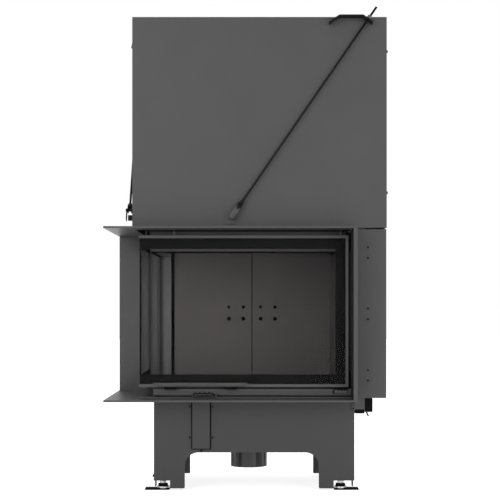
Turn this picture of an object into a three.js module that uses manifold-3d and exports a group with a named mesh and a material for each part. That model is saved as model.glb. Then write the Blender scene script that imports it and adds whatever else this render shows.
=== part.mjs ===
// Corner fireplace insert with a lifting glass door: front and left panes, a housing above that
// takes the raised door, a counterweight drive, and a pedestal on levelling feet.
// Millimetres. +X to the right seen from the front, +Y to the back, +Z up. The origin is on the
// floor, in the middle of the overall width and depth.
import * as THREE from 'three';
import { mergeVertices } from 'three/addons/utils/BufferGeometryUtils.js';
import Module from 'manifold-3d';

const wasm = await Module();
wasm.setup();

// ---------------------------------------------------------------- driving dimensions
const gap = 0.3; // between pieces that are seated on each other
const sheet = 3; // housing and rail sheet
const plate = 4; // firebox and pedestal plate
const flangePlate = 6;

const overallWidth = 917;
const overallDepth = 640;
const flangeReach = 85; // the flanges stand out to the left of the housing
const housingSetback = 90; // flange front edge to housing front
const columnWidth = 111.7;

const legClearance = 6; // leg bottoms above the floor
const pedestalTop = 297;
const apronHeight = 173;
const legWidthLeft = 101.7;
const legWidthRight = 117;
const pedestalSetback = 112; // flange front edge to pedestal front
const pedestalClearance = 136; // rear plate's front face to the housing's back edge
const pedestalInset = 69; // housing left face to pedestal left side
const sideLegWidth = 80; // legs of the pedestal's side plates
const archRadius = 45;

const fireboxHeight = 552; // between the bottom and top flanges
const rearClearance = 40; // rear wall's outer face to the housing's back edge
const housingHeight = 689;
const housingPocketDepth = 160; // front arm of the housing
const housingArmWidth = 65; // left arm of the housing
const housingLip = 22; // folded rear edges of the housing front and the column cover
const innerFrame = 56; // rim of the service window in the pocket's rear sheet

const flangeClearance = 104; // back end of the left flange strips to the housing's back edge
const flangeSlotInset = 10; // door slot edge inside the housing's outer faces
const flangeLip = 13; // front lip of the right flange

const doorSetback = 108; // flange front edge to door front
const doorSideSetback = 20; // housing left face to door left face
const doorBottom = 339.4;
const doorHeight = 497.6;
const doorRearClearance = 65; // door's rear edge to the rear wall's outer face
const doorRightClearance = 9;
const doorSideClearance = 4; // rear left flange to the door
const frameFace = 9; // visible width of the door frame
const frameDepth = 30;
const frameLedge = 12; // inner ledge behind the glass
const ledgeThickness = 3;
const glassThickness = 4;
const glassInset = 2.7; // glass front behind the frame front

const sillTop = 333;
const sillSetback = 105;
const sillWidth = 36;
const sillFaceBottom = 312.4;
const hearthThickness = 4;
const hearthReach = 67; // hearth plate beyond the pedestal's left side

const handleLength = 309;
const handleStart = 48; // door left face to the handle's left end
const handleBottom = 345;
const handleHeight = 9;
const handleBar = 8; // depth of the bar
const handleStandoff = 12; // bar's back to the door
const lugWidth = 40;
const lugInset = 56; // handle end to lug centre
const lugDepth = 22; // lug under the door frame

const liningThickness = 30;
const liningTop = 797;
const liningFloor = 30;
const backLiningClearance = 80; // face of the back lining to the rear wall's outer face
const baffleDepth = 200; // reach of the baffle in front of the back lining
const baffleThickness = 25;
const rightLiningInset = 47.3; // column to the face of the right lining
const airHoleRadius = [6, 7.5]; // upper and lower row
const airHoleHeight = [602, 560];
const airHoleSpacing = 52;
const liningJoint = 3;
const airHoleInset = 31; // centre joint to the nearer hole

const postDepth = 55; // rear left post, from its face to the rear wall's outer face
const postSetback = 13; // door left face to the post
const postWidth = 68;
const grooveStart = 24; // upright groove in the post's face
const grooveWidth = 15;
const grooveDepth = 25;
const wallFold = 12.8; // front fold of the right wall, which closes the slot beside the door
const ceilingUpstand = 45; // front fold of the ceiling, which closes the slot above the door
const airwashHeight = 64;
const airwashDepth = 50;
const flueRadius = 100;
const flueHeight = 105;
const flueWall = 3;
const spigotRadius = 62.5;
const spigotBottom = 58;
const spigotWall = 2;
const spigotSetback = 310;
const airBoxHeight = 56;
const airBoxWidth = 290;
const slotWidth = 30; // air register slots
const slotDepth = 14;
const slotPitch = 62;
const slotCount = 4;
const registerThickness = 3;
const leverLength = 82;
const leverHeight = 13;

const channelCoverWidth = 57;
const channelCoverHeight = 159;
const channelCoverDepth = 12;
const channelCoverLeft = 127; // pedestal left side to the cover

const footInsetLeft = 29;
const footInsetRight = 44;
const footSetback = 28; // from the pedestal's front and rear plates
const footStud = 6; // stud radius
const footDisc = 22; // disc radius
const footPlate = 5;
const footReach = 59; // floor plate beyond the stud, outwards
const footTabBottom = 31;
const footTabHeight = 18;
const footTabWidth = 58;
const notchHeight = 27.6;
const notchWidth = 53;

const railWidth = 30.7;
const railDepth = 30;
const railDrop = 44; // right rail below the bottom flange
const rollerRadius = 11.5;
const rollerWidth = 10;
const axleRadius = 4;
const rollerSpacing = 340;
const bufferWidth = 26;

const sheaveRadius = 45; // cable centre line
const sheaveFlange = 50;
const sheaveWidth = 14;
const cableRadius = 2;
const shaftRadius = 8;
const sheaveClearance = 7; // sheaves to the housing's top sheet
const cableSetback = 125; // front flange edge to the door cables
const cableInsetLeft = 115; // door left face to the left cable
const cableInsetRight = 23; // door right edge to the right cable
const weightHeight = 88;
const weightDepth = 30;
const weightClearance = 10; // raised counterweight to the sheaves
const guideRadius = 6;
const guideClearance = 1;
const guideReachLeft = 66; // housing left face to the left guide bar
const guideReachRight = 52; // housing right face to the right guide bar
const anchorRadius = 6;
const anchorHeight = 12;

const tieAngle = THREE.MathUtils.degToRad(34.6); // from vertical
const tieRod = 4; // rod radius
const tieOffset = 16; // rod centre line off the housing face
const tieClevisHeight = 79; // clevis above the housing's lower edge
const tieTail = 48; // threaded end beyond the bracket
const frontTieFlank = 63; // housing right face to the rod where it passes the bracket
const sideTieFlank = 34; // housing back edge to the same point
const flankLength = 40;
const bracketFlat = 78;
const bracketDepth = 38;
const bracketThickness = 4;
const tieStrap = 17; // strap width

// ---------------------------------------------------------------- datum planes
const left = -overallWidth / 2;
const right = overallWidth / 2;
const front = -overallDepth / 2;
const back = overallDepth / 2;
const housingLeft = left + flangeReach;
const housingFront = front + housingSetback;
const housingBase = pedestalTop + flangePlate + fireboxHeight + flangePlate;
const housingTop = housingBase + housingHeight;
const pocketBack = housingFront + housingPocketDepth;
const columnLeft = right - columnWidth; // left edge of the column cover
const flangeFace = columnLeft - gap - sheet; // inner face of the right flange
const flangeEnd = flangeFace + flangeLip;
const doorLeft = housingLeft + doorSideSetback;
const doorRight = flangeFace - doorRightClearance;
const doorFront = front + doorSetback;
const doorTop = doorBottom + doorHeight;
const bodyLeft = housingLeft + pedestalInset;
const bodyRight = flangeEnd - 2;
const bodyFront = front + pedestalSetback;
const bodyBack = back - pedestalClearance;
const floorLevel = pedestalTop + flangePlate; // top of the bottom flange
const hearthTop = floorLevel + gap + hearthThickness;
const hearthLeft = bodyLeft - hearthReach;
const sillLeft = bodyLeft - 1;
const ceilingTop = floorLevel + fireboxHeight;
const ceilingBottom = ceilingTop - plate;
const wallRight = doorRight - 1; // right wall's outer face
const wallBack = back - rearClearance;
const postFront = wallBack - postDepth;
const flangeBack = back - flangeClearance;
const doorBack = wallBack - doorRearClearance;
const fireboxFront = doorFront + frameDepth + 7;
const fireboxLeft = doorLeft + frameDepth + 5;
const cableFront = front + cableSetback;
const shaftLine = cableFront + sheaveRadius;
const weightLine = shaftLine + sheaveRadius;
const leftCable = doorLeft + cableInsetLeft;
const rightCable = doorRight - cableInsetRight;
const railTop = housingTop - sheet - gap;
const shaftHeight = housingTop - sheet - sheaveClearance - sheaveFlange;
const weightTop = shaftHeight - sheaveFlange - weightClearance;

// ---------------------------------------------------------------- materials
const paint = (color) => new THREE.MeshStandardMaterial({ color, roughness: 0.6, metalness: 0.2 });
const bodyPaint = paint('#58585a');
const darkPaint = paint('#3c3c3e');
const lining = new THREE.MeshStandardMaterial({ color: '#4a4646', roughness: 0.95, metalness: 0 });
const zinc = new THREE.MeshStandardMaterial({ color: '#b9bcc0', roughness: 0.35, metalness: 0.9 });
const bareSteel = new THREE.MeshStandardMaterial({ color: '#7d7f82', roughness: 0.4, metalness: 0.9 });
const glass = new THREE.MeshStandardMaterial({
  color: '#20221f', roughness: 0.05, metalness: 0, transparent: true, opacity: 0.35,
});

// ---------------------------------------------------------------- shapes and solids
// Axes of an extrusion: the shape's own x and y, then the way it is pulled.
const pulls = {
  up: [[1, 0, 0], [0, 1, 0], [0, 0, 1]],
  forward: [[1, 0, 0], [0, 0, 1], [0, -1, 0]],
  right: [[0, 1, 0], [0, 0, 1], [1, 0, 0]],
};

function extrude(shape, pull, from, to, curveSegments = 8) {
  const depth = Math.abs(to - from);
  const geometry = new THREE.ExtrudeGeometry(shape, { depth, bevelEnabled: false, curveSegments });
  const [x, y, z] = pulls[pull].map((axis) => new THREE.Vector3(...axis));
  geometry.applyMatrix4(new THREE.Matrix4().makeBasis(x, y, z));
  return geometry.translate(...z.multiplyScalar(pull === 'forward' ? -to : from).toArray());
}

const polygon = (points) => new THREE.Shape(points.map(([x, y]) => new THREE.Vector2(x, y)));

function block(x0, x1, y0, y1, z0, z1) {
  const geometry = new THREE.BoxGeometry(x1 - x0, y1 - y0, z1 - z0);
  return geometry.translate((x0 + x1) / 2, (y0 + y1) / 2, (z0 + z1) / 2);
}

function rod(radius, length, segments = 16, turn = 'up') {
  const geometry = new THREE.CylinderGeometry(radius, radius, length, segments);
  if (turn === 'up') geometry.rotateX(Math.PI / 2);
  if (turn === 'right') geometry.rotateZ(Math.PI / 2);
  return geometry;
}

// Outline of a folded sheet: the path of its bends, with the thickness laid to the path's left.
function sheetOutline(path, thickness) {
  const points = path.map(([x, y]) => new THREE.Vector2(x, y));
  const inner = points.map((point, i) => {
    const before = points[i - 1] && point.clone().sub(points[i - 1]).normalize();
    const after = points[i + 1] && points[i + 1].clone().sub(point).normalize();
    const [a, b] = [before ?? after, after ?? before].map((way) => new THREE.Vector2(-way.y, way.x));
    const mitre = a.clone().add(b).normalize();
    return point.clone().addScaledVector(mitre, thickness / mitre.dot(a));
  });
  return new THREE.Shape([...points, ...inner.reverse()]);
}

// L-shaped band seen from above: along the front from x1 to the corner (x0, y0), then back to y1.
const cornerBand = (x0, x1, y0, y1, width) => polygon([
  [x0, y0], [x1, y0], [x1, y0 + width], [x0 + width, y0 + width], [x0 + width, y1], [x0, y1],
]);

function circle(x, y, radius, segments = 24) {
  const points = Array.from({ length: segments }, (_, i) => {
    const turn = (i / segments) * 2 * Math.PI;
    return new THREE.Vector2(x + radius * Math.cos(turn), y + radius * Math.sin(turn));
  });
  return new THREE.Path(points);
}

function solid(geometry) {
  const bare = geometry.clone();
  bare.deleteAttribute('normal');
  bare.deleteAttribute('uv');
  const merged = mergeVertices(bare.index ? bare.toNonIndexed() : bare, 1e-4);
  const vertProperties = new Float32Array(merged.attributes.position.array);
  return new wasm.Manifold(
    new wasm.Mesh({ numProp: 3, vertProperties, triVerts: new Uint32Array(merged.index.array) }),
  );
}

function geometryOf(manifold) {
  const mesh = manifold.getMesh();
  const geometry = new THREE.BufferGeometry();
  geometry.setAttribute('position', new THREE.BufferAttribute(mesh.vertProperties, 3));
  geometry.setIndex(new THREE.BufferAttribute(mesh.triVerts, 1));
  geometry.computeVertexNormals();
  return geometry;
}

const join = (...parts) => geometryOf(parts.map(solid).reduce((sum, part) => sum.add(part)));
const cut = (body, ...tools) => geometryOf(
  tools.map(solid).reduce((rest, tool) => rest.subtract(tool), solid(body)),
);

const group = new THREE.Group();
function add(name, geometry, material) {
  const mesh = new THREE.Mesh(geometry, material);
  mesh.name = name;
  group.add(mesh);
  return mesh;
}

// ---------------------------------------------------------------- pedestal and feet
const studLeft = bodyLeft + footInsetLeft;
const studRight = bodyRight - footInsetRight;
const studFront = bodyFront + footSetback;
const studBack = bodyBack - footSetback;
const notchTop = legClearance + notchHeight;

// Arched plate with two legs, a rounded arch and a notch over each foot.
function archPlate(x0, x1, widthLeft, widthRight, notchLeft, notchRight) {
  const archTop = pedestalTop - apronHeight;
  const inLeft = x0 + widthLeft;
  const inRight = x1 - widthRight;
  const round = 5;
  const shape = new THREE.Shape();
  shape.moveTo(x0, pedestalTop);
  shape.lineTo(x0, notchLeft ? notchTop : legClearance);
  if (notchLeft) {
    shape.lineTo(x0 + notchLeft, notchTop);
    shape.lineTo(x0 + notchLeft, legClearance);
  }
  shape.lineTo(inLeft - round, legClearance);
  shape.quadraticCurveTo(inLeft, legClearance, inLeft, legClearance + round);
  shape.lineTo(inLeft, archTop - archRadius);
  shape.absarc(inLeft + archRadius, archTop - archRadius, archRadius, Math.PI, Math.PI / 2, true);
  shape.absarc(inRight - archRadius, archTop - archRadius, archRadius, Math.PI / 2, 0, true);
  shape.lineTo(inRight, legClearance + round);
  shape.quadraticCurveTo(inRight, legClearance, inRight + round, legClearance);
  if (notchRight) {
    shape.lineTo(x1 - notchRight, legClearance);
    shape.lineTo(x1 - notchRight, notchTop);
  }
  shape.lineTo(x1, notchRight ? notchTop : legClearance);
  shape.lineTo(x1, pedestalTop);
  return shape;
}

// Side plate between the front and rear plates, with a tab at each end for a foot's stud.
function pedestalSide(x0, x1, stud, outward) {
  const y0 = bodyFront + plate + gap;
  const y1 = bodyBack - gap;
  const notch = footSetback + footDisc;
  const outline = archPlate(y0, y1, sideLegWidth, sideLegWidth, notch, notch);
  const inner = outward < 0 ? x0 : x1;
  const tabEnd = stud - outward * (footTabWidth / 2);
  const tab = (y) => cut(
    block(
      Math.min(inner, tabEnd), Math.max(inner, tabEnd),
      Math.max(y0, y - footDisc), Math.min(y1, y + footDisc),
      footTabBottom, footTabBottom + footTabHeight,
    ),
    rod(footStud + 2 * gap, 3 * footTabHeight).translate(stud, y, footTabBottom),
  );
  return join(extrude(outline, 'right', x0, x1), tab(studFront), tab(studBack));
}

function pedestal() {
  const notchRight = notchWidth + footInsetRight - footInsetLeft;
  const frontOutline = archPlate(bodyLeft, bodyRight, legWidthLeft, legWidthRight, notchWidth, notchRight);
  const plateAt = (y) => extrude(frontOutline, 'forward', y, y + plate);
  add('pedestal_front', plateAt(bodyFront), bodyPaint);
  add('pedestal_rear', plateAt(bodyBack), bodyPaint);
  add('pedestal_left', pedestalSide(bodyLeft, bodyLeft + plate, studLeft, -1), bodyPaint);
  add('pedestal_right', pedestalSide(bodyRight - plate, bodyRight, studRight, 1), bodyPaint);
}

// Levelling foot: oblong floor plate, disc, neck, lock nut and stud, all in one turned unit.
function foot(name, x, y, outward) {
  const half = footDisc;
  const base = new THREE.Shape();
  base.absarc(0, 0, half, -Math.PI / 2, Math.PI / 2, false);
  base.lineTo(-footReach + 8, half);
  base.absarc(-footReach + 8, half - 8, 8, Math.PI / 2, Math.PI, false);
  base.absarc(-footReach + 8, 8 - half, 8, Math.PI, 1.5 * Math.PI, false);
  base.holes.push(circle(-footReach + 14, 0, 5, 12));
  const discTop = footPlate + 6;
  const neckTop = discTop + 8;
  const nutTop = footTabBottom - gap;
  const studTop = footTabBottom + footTabHeight + 38;
  const level = (radius, z0, z1, segments) => rod(radius, z1 - z0, segments).translate(0, 0, (z0 + z1) / 2);
  const geometry = join(
    extrude(base, 'up', 0, footPlate, 10),
    level(half - 1, footPlate - 1, discTop, 24),
    level(half - 5, discTop - 1, neckTop, 20),
    level(footStud * 1.6, neckTop - 1, nutTop, 6),
    level(footStud, nutTop - 1, studTop, 16),
  );
  const mesh = add(name, geometry, zinc);
  mesh.position.set(x, y, 0);
  mesh.rotation.z = outward < 0 ? 0 : Math.PI;
}

function feet() {
  foot('foot_front_left', studLeft, studFront, -1);
  foot('foot_front_right', studRight, studFront, 1);
  foot('foot_rear_left', studLeft, studBack, -1);
  foot('foot_rear_right', studRight, studBack, 1);
}

// ---------------------------------------------------------------- combustion air
const bodyMiddle = (bodyLeft + bodyRight) / 2;
const spigotX = bodyMiddle - 17.5;
const registerFront = front + sillSetback + sheet + 4;
const registerDepth = slotDepth + 8;
const slotX = Array.from({ length: slotCount }, (_, i) => spigotX + (i - (slotCount - 1) / 2) * slotPitch);
const slotY = registerFront + registerDepth / 2;
const slot = (x, z0, z1) => block(
  x - slotWidth / 2, x + slotWidth / 2, slotY - slotDepth / 2, slotY + slotDepth / 2, z0, z1,
);
const leverLeft = bodyLeft + channelCoverLeft - 1;

function airSupply() {
  const boxFront = bodyFront + plate + gap;
  const spigotY = front + spigotSetback;
  const boxBack = spigotY + spigotRadius + 30;
  const boxBottom = pedestalTop - gap - airBoxHeight;
  const boxLeft = spigotX - airBoxWidth / 2;
  const boxRight = spigotX + airBoxWidth / 2;
  const spigotLength = boxBottom + 1 - spigotBottom;
  const pipe = (radius, extra) => rod(radius, spigotLength + extra, 32)
    .translate(spigotX, spigotY, spigotBottom + spigotLength / 2);
  const shell = join(
    block(boxLeft, boxRight, boxFront, boxBack, boxBottom, pedestalTop - gap),
    pipe(spigotRadius, 0),
  );
  const inside = block(
    boxLeft + spigotWall, boxRight - spigotWall, boxFront + spigotWall, boxBack - spigotWall,
    boxBottom + spigotWall, pedestalTop + 1,
  );
  add('air_inlet', cut(shell, inside, pipe(spigotRadius - spigotWall, 8)), darkPaint);

  const coverLeft = bodyLeft + channelCoverLeft;
  const coverRight = coverLeft + channelCoverWidth;
  const coverTop = pedestalTop - gap;
  const coverBottom = coverTop - channelCoverHeight;
  const coverBack = bodyFront - gap;
  add('air_channel_cover', cut(
    block(coverLeft, coverRight, coverBack - channelCoverDepth, coverBack, coverBottom, coverTop),
    block(
      coverLeft + 2, coverRight - 2, coverBack - channelCoverDepth + 2, coverBack + 1,
      coverBottom + 2, coverTop - 2,
    ),
  ), bodyPaint);

  const registerTop = hearthTop + gap + registerThickness;
  const register = block(
    leverLeft, slotX[slotCount - 1] + slotWidth, registerFront, registerFront + registerDepth,
    hearthTop + gap, registerTop,
  );
  add('air_slide', cut(register, ...slotX.map((x) => slot(x, hearthTop, registerTop + 1))), bareSteel);

  // Lever: a front plate with a finger ring, on a tongue that reaches in to the register strip.
  const plateBack = front + sillSetback - 5;
  const plateTop = hearthTop + gap + leverHeight;
  const outline = polygon([
    [leverLeft, hearthTop + gap], [leverLeft + leverLength, hearthTop + gap],
    [leverLeft + leverLength, plateTop], [leverLeft + 12, plateTop], [leverLeft, plateTop - 8],
  ]);
  outline.holes.push(circle(leverLeft + leverLength - 9, hearthTop + gap + leverHeight / 2, 4, 16));
  add('air_lever', join(
    extrude(outline, 'forward', plateBack - 4, plateBack),
    block(
      leverLeft + 30, leverLeft + 50, plateBack - 1, registerFront - gap, hearthTop + gap, registerTop,
    ),
  ), bareSteel);
}

// ---------------------------------------------------------------- flanges and firebox
function flanges() {
  const airOpening = block(
    slotX[0] - slotWidth, slotX[slotCount - 1] + slotWidth, slotY - slotDepth, slotY + slotDepth,
    pedestalTop - 1, floorLevel + 1,
  );
  add('bottom_flange', cut(
    block(left, flangeEnd, front, flangeBack, pedestalTop, floorLevel), airOpening,
  ), bodyPaint);

  const slotFront = housingFront + flangeSlotInset;
  const slotLeft = housingLeft + flangeSlotInset;
  add('top_flange', extrude(polygon([
    [left, front], [flangeEnd, front], [flangeEnd, slotFront], [slotLeft, slotFront],
    [slotLeft, flangeBack], [left, flangeBack],
  ]), 'up', ceilingTop, housingBase), bodyPaint);

  const columnFront = front + sillSetback - 1;
  add('right_flange', extrude(sheetOutline([
    [flangeFace, columnFront + sheet], [flangeFace, front], [flangeEnd, front],
  ], sheet), 'up', floorLevel + gap, ceilingTop - gap), bodyPaint);

  const flangeRight = doorLeft - doorSideClearance;
  add('rear_left_flange', extrude(polygon([
    [left, floorLevel + gap], [hearthLeft - gap, floorLevel + gap], [hearthLeft - gap, hearthTop + gap],
    [flangeRight, hearthTop + gap], [flangeRight, ceilingTop - gap], [left, ceilingTop - gap],
  ]), 'forward', flangeBack - flangePlate, flangeBack), bodyPaint);

  add('column_cover', extrude(sheetOutline([
    [columnLeft, columnFront], [right, columnFront], [right, pocketBack], [right - housingLip, pocketBack],
  ], sheet), 'up', floorLevel + gap, ceilingTop + 2.5), bodyPaint);
}

function firebox() {
  add('hearth_plate', cut(
    block(hearthLeft, flangeFace - gap, front + sillSetback, wallBack, floorLevel + gap, hearthTop),
    ...slotX.map((x) => slot(x, floorLevel, hearthTop + 1)),
  ), bodyPaint);

  const sillFront = front + sillSetback;
  const sillRight = flangeFace - gap;
  const band = (shrink, z0, z1) => extrude(cornerBand(
    sillLeft + shrink, sillRight + (shrink ? 1 : 0), sillFront + shrink, postFront + (shrink ? 1 : 0),
    sillWidth - 2 * shrink,
  ), 'up', z0, z1);
  const leverSlot = block(
    leverLeft + 25, leverLeft + 90, sillFront - 1, sillFront + sheet + 1, hearthTop, sillFaceBottom + 2,
  );
  const toeGap = block(
    sillLeft - 1, sillRight + 2, sillFront - 1, sillFront + sheet, hearthTop, sillFaceBottom,
  );
  add('sill', cut(band(0, hearthTop + gap, sillTop), band(sheet, hearthTop, sillTop - sheet),
    toeGap, leverSlot), bodyPaint);

  const bottom = hearthTop + gap;
  const top = ceilingBottom - gap;
  const postLeft = doorLeft + postSetback;
  const postRight = postLeft + postWidth;
  const grooveLeft = postLeft + grooveStart;
  const grooveRight = grooveLeft + grooveWidth;
  add('firebox_rear_wall', join(
    block(postLeft + 11, wallRight, wallBack - plate, wallBack, bottom, top),
    ...[0.2, 0.5, 0.8].map((share) => {
      const x = postLeft + share * (wallRight - postLeft);
      return block(x - 10, x + 10, wallBack - 1, wallBack + 14, bottom + 30, top - 30);
    }),
  ), darkPaint);
  add('firebox_right_wall', extrude(sheetOutline([
    [wallRight + wallFold, fireboxFront], [wallRight - plate, fireboxFront],
    [wallRight - plate, wallBack - plate - gap],
  ], -plate), 'up', bottom, top), darkPaint);

  const flueX = (fireboxLeft + wallRight) / 2;
  const flueY = (pocketBack + wallBack) / 2;
  const upstandLeft = housingLeft + housingArmWidth;
  add('firebox_ceiling', cut(
    join(
      block(fireboxLeft, wallRight, fireboxFront, wallBack, ceilingBottom, ceilingTop),
      block(
        upstandLeft, wallRight + wallFold, fireboxFront, fireboxFront + sheet,
        ceilingBottom, ceilingTop + ceilingUpstand,
      ),
    ),
    rod(flueRadius - flueWall, 40, 40).translate(flueX, flueY, ceilingTop),
  ), darkPaint);
  const collarBottom = ceilingTop + gap;
  const collar = (radius, z0, z1) => rod(radius, z1 - z0, 40).translate(flueX, flueY, (z0 + z1) / 2);
  add('flue_collar', cut(
    join(
      collar(flueRadius + 28, collarBottom, collarBottom + plate),
      collar(flueRadius, collarBottom, collarBottom + flueHeight),
      collar(flueRadius + 3, collarBottom + flueHeight - 30, collarBottom + flueHeight - 24),
    ),
    collar(flueRadius - flueWall, collarBottom - 1, collarBottom + flueHeight + 1),
  ), darkPaint);

  // Post behind the side pane: a folded sheet with a groove between its two front faces.
  add('rear_left_post', extrude(sheetOutline([
    [postLeft, postFront], [grooveLeft, postFront], [grooveLeft, postFront + grooveDepth],
    [grooveRight, postFront + grooveDepth], [grooveRight, postFront], [postRight, postFront],
    [postRight, wallBack - plate - gap],
  ], sheet), 'up', bottom, top), bodyPaint);

  const washBottom = top - airwashHeight;
  const washOuter = cornerBand(
    fireboxLeft, wallRight - plate - gap, fireboxFront, postFront - gap, airwashDepth,
  );
  const washInner = cornerBand(
    fireboxLeft + 2, wallRight - plate - gap - 2, fireboxFront + 2, postFront - gap - 2, airwashDepth - 4,
  );
  add('airwash_channel', cut(
    extrude(washOuter, 'up', washBottom, top), extrude(washInner, 'up', washBottom + 2, top + 1),
  ), darkPaint);

  linings(bottom, postRight, wallRight - plate, washBottom);
}

function linings(bottom, postRight, wallInside, washBottom) {
  const face = wallBack - backLiningClearance;
  const liningBack = face + liningThickness;
  const liningLeft = postRight + 13;
  const liningRight = columnLeft - rightLiningInset;
  const split = (liningLeft + liningRight) / 2 - 1.5;
  const floorTop = bottom + liningFloor;
  add('lining_floor', block(
    sillLeft + sillWidth + gap, liningRight - gap, fireboxFront, face - gap, bottom, floorTop,
  ), lining);
  const holes = (side) => airHoleHeight.flatMap((z, row) => [0, 1].map((i) => (
    rod(airHoleRadius[row], 3 * liningThickness, 16, 'forward')
      .translate(split + side * (airHoleInset + i * airHoleSpacing), face, z)
  )));
  const backPanel = (x0, x1, side) => cut(
    block(x0, x1, face, liningBack, bottom, liningTop), ...holes(side),
  );
  add('lining_back_left', backPanel(liningLeft, split - liningJoint / 2, -1), lining);
  add('lining_back_right', backPanel(split + liningJoint / 2, liningRight, 1), lining);
  add('lining_right', block(
    liningRight + gap, wallInside - gap, fireboxFront, liningBack, bottom, washBottom - gap,
  ), lining);
  const baffleBottom = liningTop + gap;
  add('baffle', extrude(polygon([
    [face - baffleDepth, washBottom + baffleThickness],
    [face - baffleDepth, washBottom + 2 * baffleThickness],
    [liningBack, baffleBottom + baffleThickness], [liningBack, baffleBottom], [face, baffleBottom],
  ]), 'right', liningLeft + liningThickness, liningRight), lining);
}

// ---------------------------------------------------------------- lifting door
const cableTopOfDoor = doorTop + anchorHeight;
const carriageY = front + sillSetback - 1 + sheet + gap + railDepth / 2;
const rightRailLeft = flangeEnd + gap;
const leftRailX = doorLeft - 9 + railWidth / 2;
const leftRailFront = postFront + sheet + gap;
const lowRoller = doorBottom + (doorHeight - rollerSpacing) / 2;
const rollerLevels = [lowRoller, lowRoller + rollerSpacing];

function door() {
  const wrap = (z0, z1) => extrude(
    cornerBand(doorLeft, doorRight, doorFront, doorBack, frameDepth), 'up', z0, z1,
  );
  const glassBack = glassInset + glassThickness + gap;
  const ledgeReach = frameFace + frameLedge;
  const ledge = (z0, z1) => extrude(cornerBand(
    doorLeft + glassBack, doorRight - 1, doorFront + glassBack, doorBack - 1, ledgeThickness,
  ), 'up', z0, z1);
  const anchor = (x) => rod(anchorRadius, anchorHeight + 1, 12)
    .translate(x, cableFront, doorTop + (anchorHeight - 1) / 2);
  add('door_frame', join(
    wrap(doorBottom, doorBottom + frameFace),
    wrap(doorTop - frameFace, doorTop),
    ledge(doorBottom + 1, doorBottom + ledgeReach),
    ledge(doorTop - ledgeReach, doorTop - 1),
    block(doorRight - frameFace, doorRight, doorFront, doorFront + frameDepth, doorBottom, doorTop),
    block(
      doorRight - ledgeReach, doorRight - 1, doorFront + glassBack, doorFront + glassBack + ledgeThickness,
      doorBottom, doorTop,
    ),
    block(doorLeft, doorLeft + frameDepth, doorBack - frameFace, doorBack, doorBottom, doorTop),
    block(
      doorLeft + glassBack, doorLeft + glassBack + ledgeThickness, doorBack - ledgeReach, doorBack - 1,
      doorBottom, doorTop,
    ),
    anchor(leftCable), anchor(rightCable),
  ), bodyPaint);

  const paneBottom = doorBottom + frameFace + gap;
  const paneTop = doorTop - frameFace - gap;
  const paneFront = doorFront + glassInset;
  const paneLeft = doorLeft + glassInset;
  add('front_glass', block(
    paneLeft, doorRight - frameFace - gap, paneFront, paneFront + glassThickness, paneBottom, paneTop,
  ), glass);
  add('side_glass', block(
    paneLeft, paneLeft + glassThickness, paneFront + glassThickness + gap, doorBack - frameFace - gap,
    paneBottom, paneTop,
  ), glass);
  doorHandle();
  carriages();
}

function doorHandle() {
  const barFront = doorFront - handleStandoff - handleBar;
  const x0 = doorLeft + handleStart;
  const x1 = x0 + handleLength;
  const lugTop = doorBottom - gap;
  const lugBottom = sillTop + gap;
  const lug = (x) => join(
    block(x - lugWidth / 2, x + lugWidth / 2, barFront, doorFront + lugDepth, lugBottom, lugTop),
    block(x - lugWidth / 2, x + lugWidth / 2, barFront, barFront + handleBar, lugBottom, handleBottom + 1),
  );
  add('door_handle', join(
    block(x0, x1, barFront, barFront + handleBar, handleBottom, handleBottom + handleHeight),
    lug(x0 + lugInset), lug(x1 - lugInset),
  ), bodyPaint);
}

// Carriages carry the door in its rails: a plate on the door frame, with an axle for each roller.
function carriages() {
  const rightPlate = block(
    doorRight + gap, rightRailLeft + 6, carriageY - 3, carriageY + 3,
    rollerLevels[0] - 30, rollerLevels[1] + 30,
  );
  const axleX = rightRailLeft + 6;
  const axleLength = rollerWidth + 8;
  const rollerX = axleX + gap + rollerWidth / 2 + 1;
  add('right_carriage', join(rightPlate, ...rollerLevels.map((z) => (
    rod(axleRadius, axleLength + 4, 16, 'right').translate(axleX + axleLength / 2 - 2, carriageY, z)
  ))), bareSteel);

  const leftPlate = block(
    leftRailX - 3, leftRailX + 3, doorBack + gap, leftRailFront + 8,
    rollerLevels[0] - 30, rollerLevels[1] + 30,
  );
  const axleY = leftRailFront + 8;
  const rollerY = axleY + gap + rollerWidth / 2 + 1;
  add('left_carriage', join(leftPlate, ...rollerLevels.map((z) => (
    rod(axleRadius, axleLength + 4, 16, 'forward').translate(leftRailX, axleY + axleLength / 2 - 2, z)
  ))), bareSteel);

  const wheel = (turn) => cut(
    rod(rollerRadius, rollerWidth, 24, turn), rod(axleRadius + gap, 3 * rollerWidth, 16, turn),
  );
  ['lower', 'upper'].forEach((level, i) => {
    add(`roller_right_${level}`, wheel('right'), zinc).position.set(rollerX, carriageY, rollerLevels[i]);
    add(`roller_left_${level}`, wheel('forward'), zinc).position.set(leftRailX, rollerY, rollerLevels[i]);
  });
}

function rails() {
  const half = railDepth / 2;
  const x0 = rightRailLeft;
  const x1 = x0 + railWidth;
  const rightBottom = floorLevel - flangePlate - railDrop;
  const channel = extrude(sheetOutline([
    [x0, carriageY - half], [x1, carriageY - half], [x1, carriageY + half], [x0, carriageY + half],
  ], sheet), 'up', rightBottom, railTop);
  const buffer = block(
    x1 - 1, x1 + bufferWidth, carriageY - half, carriageY + half, rightBottom + 5, floorLevel - 2,
  );
  add('right_rail', join(channel, buffer), bodyPaint);
  const a = leftRailX - railWidth / 2;
  const b = leftRailX + railWidth / 2;
  const leftRailBack = leftRailFront + railDepth;
  add('left_rail', extrude(sheetOutline([
    [b, leftRailFront], [b, leftRailBack], [a, leftRailBack], [a, leftRailFront],
  ], sheet), 'up', hearthTop + gap, railTop), bodyPaint);
}

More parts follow.
